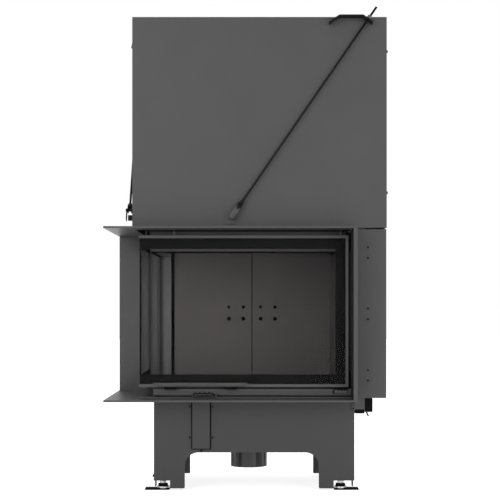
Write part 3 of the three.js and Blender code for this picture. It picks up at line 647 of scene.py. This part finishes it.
def lay_over_sheave(piece, straight, start, centre):
    """Carries a rope to its start, and bends what is past its straight part over a sheave.

    centre is the sheave's, along Y and Z; the rope goes round it to the back.
    """
    for vertex in piece.data.vertices:
        across, inward, along = vertex.co
        if along <= straight * MM:
            vertex.co = (start[0] * MM + across, start[1] * MM + inward, start[2] * MM + along)
        else:
            turn = (along - straight * MM) / (SHEAVE_LINE * MM)
            reach = SHEAVE_LINE * MM - inward
            vertex.co = (
                start[0] * MM + across,
                centre[0] * MM - reach * math.cos(turn),
                centre[1] * MM + reach * math.sin(turn),
            )


def hang_rope(rope, run):
    """Finishes a rope in its CAD cable's place: names it, gives it its finish and smooth shading,
    hides the CAD cable and puts its place into its mesh.
    """
    rope.name = f"{run}_rope"
    rope.data.materials.append(rope_steel)
    only(rope)
    bpy.ops.object.shade_smooth_by_angle(angle=STRAND_SMOOTH_BELOW)
    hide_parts(f"{run}_cable")
    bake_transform(rope)


shaft_centre = middle_of("lift_shaft", 1, 2)
for side in ("left", "right"):
    low, high = corners(f"{side}_door_cable")
    start = ((low[0] + high[0]) / 2, low[1] + ROPE_RADIUS, low[2])
    rise = shaft_centre[1] - low[2]
    rope = wire_rope(rise + math.pi * SHEAVE_LINE)
    lay_over_sheave(rope, rise, start, shaft_centre)
    hang_rope(rope, f"{side}_door")

    # The weight's rope ends under the sheave, so all of it is straight.
    low, high = corners(f"{side}_weight_cable")
    start = ((low[0] + high[0]) / 2, low[1] + ROPE_RADIUS, low[2])
    length = high[2] - low[2]
    rope = wire_rope(length)
    lay_over_sheave(rope, length + 1, start, shaft_centre)
    hang_rope(rope, f"{side}_weight")


# ---------------------------------------------------------------- wires, seams and welds

BEAD_SWAY = 0.25  # how far the bead's scales rise, as a share of its radius


def bent_wire(points, radius, closed=False, sides=4):
    """A round wire or seam through points, as a mesh; more sides make its section rounder."""
    data = bpy.data.curves.new("bent_wire", "CURVE")
    data.dimensions = "3D"
    data.bevel_depth = radius * MM
    data.bevel_resolution = sides
    data.use_fill_caps = not closed
    line = data.splines.new("POLY")
    line.points.add(len(points) - 1)
    for knot, place in zip(line.points, points):
        knot.co = (*(Vector(place) * MM), 1)
    line.use_cyclic_u = closed
    piece = bpy.data.objects.new("bent_wire", data)
    bpy.context.collection.objects.link(piece)
    only(piece)
    bpy.ops.object.convert(target="MESH")
    return bpy.context.object


def weld_bead(points, radius, closed=False):
    """A weld along a path: its scales make the bead sway a little from point to point."""
    sway = Vector((0, 0, BEAD_SWAY * radius))
    swayed = [Vector(place) + sway * (index % 2) for index, place in enumerate(points)]
    return bent_wire(swayed, radius, closed, 2)


def ring_points(centre, radius, level, count):
    """Points round a level circle."""
    turns = [2 * math.pi * index / count for index in range(count)]
    return [
        (centre[0] + radius * math.cos(turn), centre[1] + radius * math.sin(turn), level)
        for turn in turns
    ]


def line_points(start, end, step):
    """Points along a straight seam, about a step apart."""
    run = Vector(end) - Vector(start)
    count = max(2, round(run.length / step))
    return [Vector(start) + run * index / count for index in range(count + 1)]


def path_from(origin, offsets):
    """The points of a path that is given as offsets from one corner."""
    return [tuple(a + b for a, b in zip(origin, offset)) for offset in offsets]


COLLAR_FLANGE = 28  # flange ring beyond the tube
COLLAR_PLATE = 4
COLLAR_WELD = 2.2
SHELL_PLATE = 4
SHELL_WELD = 1.8
WELD_STEP = 6
RIB_DEPTH = 14  # the stiffening ribs on the rear wall
ROOF_SEAM_INSET = 14  # from the left end of the rear wall to the start of the roof seam

collar_low, collar_high = corners("flue_collar")
collar_middle = middle_of("flue_collar", 0, 1)
flange_radius = (collar_high[0] - collar_low[0]) / 2
tube_radius = flange_radius - COLLAR_FLANGE
collar_seams = (
    (tube_radius + 0.6, collar_low[2] + COLLAR_PLATE + 0.4, 120, COLLAR_WELD),
    (flange_radius + 0.4, collar_low[2] + 0.6, 150, COLLAR_WELD * 0.8),
)
collar_beads = [
    weld_bead(ring_points(collar_middle, radius, level, count), bead, closed=True)
    for radius, level, count, bead in collar_seams
]
settle(joined(collar_beads), "flue_collar_welds", stove_black_and_painted_shade)

shell_low, shell_high = corners("firebox_rear_wall")
shell_back = shell_high[1] - RIB_DEPTH
corner_line = (shell_high[0] + 0.2, shell_back - SHELL_PLATE)
roof_line = (shell_back + 0.2, shell_high[2])
shell_seams = (
    ((*corner_line, shell_low[2] + 2), (*corner_line, shell_high[2] - 2)),
    ((shell_low[0] + ROOF_SEAM_INSET, *roof_line), (shell_high[0] - 2, *roof_line)),
)
shell_beads = [
    weld_bead(line_points(start, end, WELD_STEP), SHELL_WELD) for start, end in shell_seams
]
settle(joined(shell_beads), "firebox_welds", stove_black_and_painted_shade)


# ---------------------------------------------------------------- turned and threaded parts

THREAD_ROOT = 0.84  # a thread's inner radius, as a share of its outer one
THREAD_FACETS = 14
HEXAGON = 6  # sides of a nut


def threaded_rod(radius, length, pitch):
    """A screw thread up Z from the origin: one tooth, wound up the rod, with closed ends."""
    turns = round(length / pitch)
    pitch = length / turns
    inner = radius * THREAD_ROOT * MM
    tooth = [(inner, 0, 0), (radius * MM, 0, pitch * 0.5 * MM), (inner, 0, pitch * MM)]
    mesh = bpy.data.meshes.new("threaded_rod")
    mesh.from_pydata(tooth, [(0, 1), (1, 2)], [])
    piece = bpy.data.objects.new("threaded_rod", mesh)
    bpy.context.collection.objects.link(piece)
    shape_with(
        piece,
        "SCREW",
        angle=2 * math.pi,
        screw_offset=pitch * MM,
        iterations=turns,
        steps=THREAD_FACETS,
        render_steps=THREAD_FACETS,
        use_merge_vertices=True,
        merge_threshold=0.00001,
    )
    edit(piece, "EDGE")
    bpy.ops.mesh.select_non_manifold()
    bpy.ops.mesh.edge_face_add()
    bpy.ops.mesh.select_all(action="SELECT")
    bpy.ops.mesh.normals_make_consistent(inside=False)
    bpy.ops.object.mode_set(mode="OBJECT")
    return piece


def turned(radius, low, high, vertices=32, edge=0.8):
    """A turned collar or a nut about Z, with its upper and lower edges rounded."""
    bpy.ops.mesh.primitive_cylinder_add(
        vertices=vertices,
        radius=radius * MM,
        depth=(high - low) * MM,
        location=(0, 0, (low + high) / 2 * MM),
    )
    piece = bpy.context.object
    only(piece)
    bpy.ops.object.transform_apply(location=True, rotation=False, scale=False)
    edit(piece)
    pick(piece, lambda centre, normal: abs(normal.z) > END_FACE)
    bpy.ops.mesh.bevel(offset=edge * MM, segments=2, affect="EDGES")
    bpy.ops.object.mode_set(mode="OBJECT")
    return piece


def moved(piece, x, y, turn=0):
    """Turns a finished part about Z and puts it over a point."""
    piece.rotation_euler = (0, 0, turn)
    piece.location = (x * MM, y * MM, 0)
    only(piece)
    bpy.ops.object.transform_apply(location=True, rotation=True, scale=False)
    return piece


# ---------------------------------------------------------------- levelling feet

PAD_TOP = 5  # heights over the floor
DISC_TOP = 11
STUD_BOTTOM = 19
NECK_TOP = 20
TAB_BOTTOM = 31
TAB_TOP = 49
LOCK_NUT_HEIGHT = 8
DISC_RADIUS = 22  # radii
NECK_RADIUS = 16
NUT_RADIUS = 11
LOCK_NUT_RADIUS = 10.5
STUD_RADIUS = 6
STUD_PITCH = 1.75
NUT_TURN = math.radians(12)  # the nuts stand as the spanner left them
LOCK_NUT_TURN = math.radians(40)

for foot in ("foot_front_left", "foot_front_right", "foot_rear_left", "foot_rear_right"):
    low, high = corners(foot)
    x = high[0] - DISC_RADIUS if "left" in foot else low[0] + DISC_RADIUS
    y = (low[1] + high[1]) / 2
    pad = rounded_slab((low[0], low[1], 0), (high[0], high[1], PAD_TOP), radius=1.6)
    settle(pad, f"{foot}_pad", black_rubber_and_painted_shade, foot)
    disc = moved(turned(DISC_RADIUS - 1, PAD_TOP, DISC_TOP, vertices=40, edge=1.2), x, y)
    nut = turned(NUT_RADIUS, NECK_TOP, TAB_BOTTOM - 0.4, HEXAGON, edge=1)
    nut = moved(nut, x, y, NUT_TURN)
    lock_nut_top = TAB_TOP + LOCK_NUT_HEIGHT
    lock_nut = turned(LOCK_NUT_RADIUS, TAB_TOP + 0.3, lock_nut_top, HEXAGON, edge=1)
    lock_nut = moved(lock_nut, x, y, LOCK_NUT_TURN)
    metal = settle(joined([disc, nut, lock_nut]), f"{foot}_nuts", zinc, foot)
    neck = moved(turned(NECK_RADIUS, DISC_TOP, NECK_TOP, edge=1.4), x, y)
    settle(neck, f"{foot}_neck", black_rubber_and_painted_shade, foot)
    stud = threaded_rod(STUD_RADIUS, high[2] - STUD_BOTTOM, STUD_PITCH)
    stud.location = (x * MM, y * MM, STUD_BOTTOM * MM)
    settle(stud, f"{foot}_stud", zinc, foot)
    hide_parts(foot)


# ---------------------------------------------------------------- counterweight fittings

ROPE_NUT_HEIGHT = 7  # over the counterweight, as is the ferrule's
FERRULE_HEIGHT = 26

weight_top = corners("counterweight")[1][2]
rope_nut_top = weight_top + ROPE_NUT_HEIGHT
rope_ends = []
for side in ("left", "right"):
    x, y = middle_of(f"{side}_weight_cable", 0, 1)
    rope_nut = turned(7, weight_top + 0.1, rope_nut_top, HEXAGON, edge=1)
    ferrule = turned(3.6, rope_nut_top, weight_top + FERRULE_HEIGHT, vertices=20)
    rope_ends += [moved(rope_nut, x, y), moved(ferrule, x, y)]
settle(joined(rope_ends), "weight_rope_ferrules", phosphated, "counterweight")


# ---------------------------------------------------------------- adjustable ties

TIE_LEAN = math.radians(34.6)  # from upright
TIE_OFFSET = 16  # rod off the housing
TIE_LOW = -741.1  # the fork's middle, measured along the rod from the bracket
TIE_TAIL = 48  # the rod's end beyond the bracket
TIE_THREAD = 100
TIE_PITCH = 1.6
TIE_RADIUS = 4
FORK_HALF = 8  # half the fork's width and depth
CHEEK_OFFSET = 5.8  # a cheek's middle from the rod's
CHEEK_HALF = 2.2
STRAP_HALF = 8.5
STRAP_DEPTH = (-11.4, -8.4)  # its front and back, from the rod
BRACKET_PLATE = 4
WASHER_TOP = BRACKET_PLATE + 1.6
TIE_NUT_TOP = BRACKET_PLATE + 9.6
BRACKET_REACH = 20  # from the housing's top edge to the bracket, along the rod
FRONT_TIE_FLANK = 63  # housing's right face to the rod at its bracket
SIDE_TIE_FLANK = 34  # the part's back edge to the same point


def crosswise(pin, level):
    """Turns a pin that was made along Z across the rod, at a level."""
    pin.rotation_euler = (QUARTER, 0, 0)
    pin.location = (0, 0, level * MM)
    return pin


def fork_end():
    """The fork at the rod's lower end: two rounded cheeks, a heel, a neck and the headed pin."""
    cheeks = [
        rounded_slab(
            (-FORK_HALF, y - CHEEK_HALF, TIE_LOW - 12),
            (FORK_HALF, y + CHEEK_HALF, TIE_LOW + 12),
            radius=1.6,
        )
        for y in (-CHEEK_OFFSET, CHEEK_OFFSET)
    ]
    heel = rounded_slab(
        (-FORK_HALF, -FORK_HALF, TIE_LOW + 6), (FORK_HALF, FORK_HALF, TIE_LOW + 16), radius=2
    )
    pin = crosswise(turned(5, -12, 14, vertices=24, edge=1), TIE_LOW - 4)
    neck = turned(6, TIE_LOW + 15, TIE_LOW + 24, vertices=24, edge=1.5)
    return [*cheeks, heel, pin, neck]


def tie_place(lean, foot, turn):
    """The matrix that leans a tie made along Z and carries it to its bracket on the housing."""
    place = Matrix.Translation(Vector(foot) * MM) @ Matrix.Rotation(turn, 4, "Z")
    place = place @ Matrix.Translation((0, -TIE_OFFSET * MM, 0))
    return place @ Matrix.Rotation(lean * TIE_LEAN, 4, "Y")


def laid(parts, place):
    """Carries the parts of a tie to its place and makes one object of them."""
    for part in parts:
        part.matrix_world = place @ part.matrix_world
    return joined(parts)


def dressed_tie(tie, place, strap_finish):
    """The rod with its thread, fork, nut and washer, and the flat strap under the fork."""
    thread_start = TIE_TAIL - TIE_THREAD
    shank = turned(TIE_RADIUS - 0.2, TIE_LOW + 20, thread_start + 2, vertices=24, edge=0.6)
    thread = threaded_rod(TIE_RADIUS, TIE_THREAD, TIE_PITCH)
    thread.location = (0, 0, thread_start * MM)
    rod = settle(laid([shank, thread, *fork_end()], place), f"{tie}_rod", blacked_steel_and_painted_shade)
    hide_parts(tie)
    washer = turned(9.5, BRACKET_PLATE + 0.2, WASHER_TOP, edge=0.3)
    nut = turned(8, WASHER_TOP, TIE_NUT_TOP, HEXAGON, edge=1)
    settle(laid([washer, nut], place), f"{tie}_nut", phosphated)
    strap = rounded_slab(
        (-STRAP_HALF, STRAP_DEPTH[0], TIE_LOW - 46),
        (STRAP_HALF, STRAP_DEPTH[1], TIE_LOW - 2),
        radius=1.2,
    )
    # Known fault: laid() reads the rivet's place before Blender has updated it, so the rivet
    # stays hidden inside the rod at the bracket, and the strap shows none.
    rivet = crosswise(turned(3, 7, 12.6, vertices=20), TIE_LOW - 36)
    settle(laid([strap, rivet], place), f"{tie}_strap", strap_finish)


left_low = corners("housing_left")[0]
tie_level = housing_high[2] - BRACKET_REACH * math.sin(TIE_LEAN)
front_foot = (housing_high[0] - FRONT_TIE_FLANK, housing_low[1], tie_level)
side_foot = (left_low[0], cad_box[1][1] / MM - SIDE_TIE_FLANK, tie_level)
dressed_tie("front_tie", tie_place(1, front_foot, 0), grey_coat)
# The side strap is black as painted shade; the front strap keeps the housing's grey.
dressed_tie("side_tie", tie_place(-1, side_foot, -QUARTER), blacked_steel_and_painted_shade)


# ---------------------------------------------------------------- door and lining fittings

# Black blocks round the two lugs of the handle, painted shade under them.
LUG_INSET = 56  # from each end of the handle to the lug's middle
SHADE_BLOCK_HALF = 20.8  # half a sleeve's width
handle_low, handle_high = corners("door_handle")
lug_shade_blocks = [
    rounded_slab(
        (x - SHADE_BLOCK_HALF, handle_low[1] - 3.4, handle_low[2] - 0.6),
        (x + SHADE_BLOCK_HALF, handle_low[1] + 12, handle_low[2] + 8.6),
        radius=3,
        segments=4,
    )
    for x in (handle_low[0] + LUG_INSET, handle_high[0] - LUG_INSET)
]
settle(joined(lug_shade_blocks), "handle_lug_painted_shade", black_rubber_and_painted_shade, "door")

# A black strip on the right flange's inner face paints the shade in the slot between the flange
# and the door.
flange_low, flange_high = corners("right_flange")
slot_shade_strip = rounded_slab(
    (flange_low[0] - 1.2, flange_low[1] + 1.5, flange_low[2] + 1),
    (flange_low[0] - 0.1, flange_high[1] - 4, flange_high[2] - 1),
    radius=0.4,
)
settle(slot_shade_strip, "slot_painted_shade_strip", stove_black_and_painted_shade)

# A black strip under the air-wash channel, along the front pane and along the side pane, paints
# the shade under the channel.
wash_low, wash_high = corners("airwash_channel")
wash_shade_bottom, wash_shade_top = wash_low[2] - 6.5, wash_low[2] - 0.2
wash_shade_front = rounded_slab(
    (wash_low[0] + 2, wash_low[1] + 1, wash_shade_bottom),
    (wash_high[0] - 2, wash_low[1] + 8, wash_shade_top),
    radius=2.4,
)
wash_shade_side = rounded_slab(
    (wash_low[0] + 1, wash_low[1] + 9, wash_shade_bottom),
    (wash_low[0] + 8, wash_high[1] - 2, wash_shade_top),
    radius=2.4,
)
settle(joined([wash_shade_front, wash_shade_side]), "airwash_painted_shade", soot_black_and_painted_shade)

# Steel bushes in the air holes of the back lining, black inside.
HOLE_ROWS = {602: 5.9, 560: 7.4}  # height of the row to the hole's radius
HOLE_REACHES = (31, 83)  # from the joint of the two boards
BUSH_LENGTH = 8
BUSH_DEPTH = 6.5
BUSH_RIM = 0.16  # as a share of the radius
left_board_low, left_board_high = corners("lining_back_left")
right_board_edge = corners("lining_back_right")[0][0]
split = (left_board_high[0] + right_board_edge) / 2
bushes = []
for level, radius in HOLE_ROWS.items():
    for x in [split + side * reach for reach in HOLE_REACHES for side in (-1, 1)]:
        bush = turned(radius, 0, BUSH_LENGTH, vertices=20, edge=0.5)
        edit(bush)
        pick(bush, lambda centre, normal: normal.z > END_FACE)
        bpy.ops.mesh.inset(thickness=radius * BUSH_RIM * MM)
        bpy.ops.mesh.extrude_region_move(
            TRANSFORM_OT_translate={"value": (0, 0, -BUSH_DEPTH * MM)}
        )
        bpy.ops.object.mode_set(mode="OBJECT")
        bush.rotation_euler = (QUARTER, 0, 0)
        bush.location = (x * MM, (left_board_low[1] + BUSH_LENGTH + 0.2) * MM, level * MM)
        bushes.append(bush)
settle(joined(bushes), "air_hole_bushes", soot_black_and_painted_shade)

# A soot-black cord closes the joint between the two back boards.
joint = rounded_slab(
    (left_board_high[0] - 0.2, left_board_low[1] + 0.6, left_board_low[2] + 1),
    (right_board_edge + 0.2, left_board_low[1] + 20, left_board_high[2] - 1),
    radius=0.5,
)
settle(joint, "lining_joint_cord", soot_black_and_painted_shade)


# ---------------------------------------------------------------- fittings at the rails

# Rubber parts at the foot of the right rail: a cap over the channel and the block beside it.
BUFFER_WIDTH = 26.5
rail_low, rail_high = corners("right_rail")
buffer_left = rail_high[0] - BUFFER_WIDTH
floor_low, floor_high = corners("bottom_flange")
cap = rounded_slab(
    (rail_low[0] - 0.6, rail_low[1] - 0.7, rail_low[2] - 0.6),
    (buffer_left, rail_high[1] + 0.6, rail_low[2] + 13),
    radius=1.4,
)
block = rounded_slab(
    (buffer_left, rail_low[1] - 0.9, rail_low[2] + 4.2),
    (rail_high[0] + 0.6, rail_high[1] + 0.8, floor_high[2] - 0.3),
    radius=3.2,
    segments=4,
)
settle(joined([cap, block]), "rail_buffer_rubber", black_rubber_and_painted_shade)

# The wire clip that hangs from the buffer, from the rail's lower right corner.
CLIP_PATH = ((-20, 6, 7), (-18, 5, 1), (-15, 4, -5), (-13, 4, -9))
clip = bent_wire(path_from((rail_high[0], rail_low[1], rail_low[2]), CLIP_PATH), 2.6)
settle(clip, "rail_buffer_clip", blacked_steel_and_painted_shade)

# Ceramic rope between the firebox and the right rail, a plate at the column's foot and a
# filler behind the left flange: less light passes beside the firebox when the door is up.
JAMB_ROPE_FRONT = 4  # its centre line before the firebox's folded edge
fold_low, fold_high = corners("firebox_right_wall")
rope_left, rope_right = fold_high[0] + 0.1, rail_low[0] - 0.1
rope_line = ((rope_left + rope_right) / 2, fold_low[1] - JAMB_ROPE_FRONT)
jamb_rope = weld_bead(
    line_points((*rope_line, fold_low[2] + 1), (*rope_line, fold_high[2]), 7),
    (rope_right - rope_left) / 2,
)
settle(jamb_rope, "jamb_ceramic_rope", stove_black_and_painted_shade)
foot_cover = rounded_slab(
    (fold_high[0] + 1, rail_high[1] + 1.2, column_low[2] + 0.4),
    (column_high[0] - 0.4, column_high[1] - 3, column_low[2] + 2.8),
    radius=0.7,
)
settle(foot_cover, "column_foot_plate", stove_black_and_painted_shade)
post_low, post_high = corners("rear_left_flange")
filler = rounded_slab(
    (left_low[0] + 2, post_high[1] + 0.2, post_low[2] + 0.5),
    (post_high[0] + 1, corners("left_rail")[0][1] - 0.3, post_high[2] - 0.5),
    radius=1,
)
settle(filler, "left_rail_filler", stove_black_and_painted_shade)

# A bracket ties the rail's foot to the pedestal, with two screws.
bracket_face = pedestal_front - 4.4
foot_plate = rounded_slab(
    (rail_low[0] - 13, bracket_face, rail_low[2] + 8),
    (rail_low[0] + 9, pedestal_front - 0.1, floor_low[2] - 0.6),
    radius=1,
)
settle(foot_plate, "rail_foot_bracket", base_coat)
screws(
    "rail_foot_screws",
    [(rail_low[0] - 7, bracket_face, rail_low[2] + rise) for rise in (15, 35)],
    FRONT,
    radius=2.6,
    height=1.4,
)


# ---------------------------------------------------------------- sill, air and beam fittings

# The catch in the corner under the door: a pale plate with a comb of pins and its sprung wire.
CATCH_LEFT, CATCH_RIGHT = 288, 331
CATCH_LEVEL = 318
PIN_COUNT = 5
PIN_SPACING = 7
SPRING_PATH = ((7, -2.6, 16), (1, -2.8, 14), (-3, -2.9, 9), (-3, -2.8, 3), (-1, -2.6, 0))
sill_front = corners("sill")[0][1]
plate = rounded_slab(
    (CATCH_LEFT, sill_front - 2.2, CATCH_LEVEL),
    (CATCH_RIGHT, sill_front - 0.2, CATCH_LEVEL + 11),
    radius=0.9,
)
# The plate takes the grey coat lightened as painted light.
settle(plate, "catch_plate", lit_grey_coat)
comb = []
for index in range(PIN_COUNT):
    pin = turned(2.6, 0, 6.4, vertices=16)
    pin_x = CATCH_LEFT + 12 + index * PIN_SPACING
    pin.location = (pin_x * MM, (sill_front - 2.9) * MM, (CATCH_LEVEL + 10.6) * MM)
    comb.append(pin)
comb.append(bent_wire(path_from((CATCH_LEFT, sill_front, CATCH_LEVEL), SPRING_PATH), 2))
settle(joined(comb), "catch_comb", black_rubber_and_painted_shade)

# The air lever's grip: a black sprung wire with a waved back, clipped round the lever.
GRIP_WAVES = 4
GRIP_STEPS = 32  # from end to end of the waved back
GRIP_BACK = (6, 62)  # its start and its run along the lever
GRIP_BASE = (5, 70)  # the same for the straight side
WAVE_HEIGHT = 2.4
lever_low, lever_high = corners("air_lever")
grip_front = lever_low[1] - 1
loop = []
for index in range(GRIP_STEPS + 1):
    share = index / GRIP_STEPS
    dip = WAVE_HEIGHT * math.sin(share * GRIP_WAVES * 2 * math.pi)
    level = lever_high[2] - 1.5 + dip * (0.4 + share)  # the waves grow to the right
    loop.append((lever_low[0] + GRIP_BACK[0] + share * GRIP_BACK[1], grip_front, level))
for share in (1, 0.66, 0.33, 0):
    along = lever_low[0] + GRIP_BASE[0] + share * GRIP_BASE[1]
    loop.append((along, grip_front, lever_low[2] + 3.4))
grip = bent_wire(loop, 1.7, closed=True)
settle(grip, "air_lever_grip", black_rubber_and_painted_shade, "air_control")

# A black strip frames the air cover on three sides as painted shadow lines, and its lock screw
# hangs below.
SHADOW_LINE = 2.8
shadow_line_depth = cover_low[1] + 9
shadow_line_left, shadow_line_right = cover_low[0] - SHADOW_LINE / 2, cover_high[0] + SHADOW_LINE / 2
shadow_line_bottom, shadow_line_top = cover_low[2] - SHADOW_LINE / 2, cover_high[2] - 1
shadow_line_path = [
    (shadow_line_left, shadow_line_depth, shadow_line_top),
    (shadow_line_left, shadow_line_depth, shadow_line_bottom),
    (shadow_line_right, shadow_line_depth, shadow_line_bottom),
    (shadow_line_right, shadow_line_depth, shadow_line_top),
]
settle(bent_wire(shadow_line_path, SHADOW_LINE), "air_cover_painted_shadow", black_rubber_and_painted_shade)
lock_screw = turned(3.4, -12, 1.5, HEXAGON)
cover_middle = (cover_low[0] + cover_high[0]) / 2
lock_screw.location = (cover_middle * MM, (cover_low[1] + 6) * MM, cover_low[2] * MM)
settle(lock_screw, "air_cover_lock_screw", blacked_steel_and_painted_shade)

# Doubling plates on the front beam above the door: left, right, bottom and top of each.
BEAM_PLATES = ((-133, -83, 852, 859.5), (-80, 8, 852, 859.5), (150, 158, 851, 858))
beam_front = corners("firebox_ceiling")[0][1]
beams = [
    rounded_slab((left, beam_front - 1.6, bottom), (right, beam_front - 0.1, top), radius=0.6)
    for left, right, bottom, top in BEAM_PLATES
]
settle(joined(beams), "beam_doubling_plates", stove_black_and_painted_shade)


# ---------------------------------------------------------------- white room and studio floor

WHITE = (1, 1, 1, 1)
ROOM_LIGHT = 0.55  # what the white room gives; to the camera, glass and shine it is pure white
FLOOR_GLOW = 0.76  # lifts the floor to the photograph's white
FLOOR_SIZE = 40  # in metres

white_world = bpy.data.worlds.new("studio")
bpy.context.scene.world = white_world
white_world.use_nodes = True
room = white_world.node_tree.nodes["Background"]
room.inputs["Color"].default_value = WHITE
room.inputs["Strength"].default_value = ROOM_LIGHT
seen = add_node(white_world, "Background", {"Color": WHITE, "Strength": 1})
rays = add_node(white_world, "LightPath")
sight = rays.outputs["Is Camera Ray"]
for kind in ("Is Transmission Ray", "Is Glossy Ray"):
    either = {0: sight, 1: rays.outputs[kind]}
    sight = add_node(white_world, "Math", {"operation": "MAXIMUM"}, either).outputs["Value"]
both = add_node(
    white_world,
    "MixShader",
    {},
    {0: sight, 1: room.outputs["Background"], 2: seen.outputs["Background"]},
)
white_world.node_tree.links.new(
    white_world.node_tree.nodes["World Output"].inputs["Surface"], both.outputs["Shader"]
)

floor_paint, floor_shader = new_material("pale_studio_floor")
floor_shader.inputs["Base Color"].default_value = colour("f2f2f2")
floor_shader.inputs["Roughness"].default_value = 0.9
floor_shader.inputs["Emission Color"].default_value = WHITE
floor_rays = add_node(floor_paint, "LightPath")
floor_seen = add_node(
    floor_paint,
    "Math",
    {"operation": "MAXIMUM"},
    {0: floor_rays.outputs["Is Camera Ray"], 1: floor_rays.outputs["Is Glossy Ray"]},
)
floor_glow = add_node(
    floor_paint,
    "Math",
    {"operation": "MULTIPLY", 1: FLOOR_GLOW},
    {0: floor_seen.outputs["Value"]},
)
floor_paint.node_tree.links.new(
    floor_shader.inputs["Emission Strength"], floor_glow.outputs["Value"]
)
bpy.ops.mesh.primitive_plane_add(size=FLOOR_SIZE, location=(0, 0, 0))
floor = bpy.context.object
floor.name = "studio_floor"
floor.data.materials.append(floor_paint)
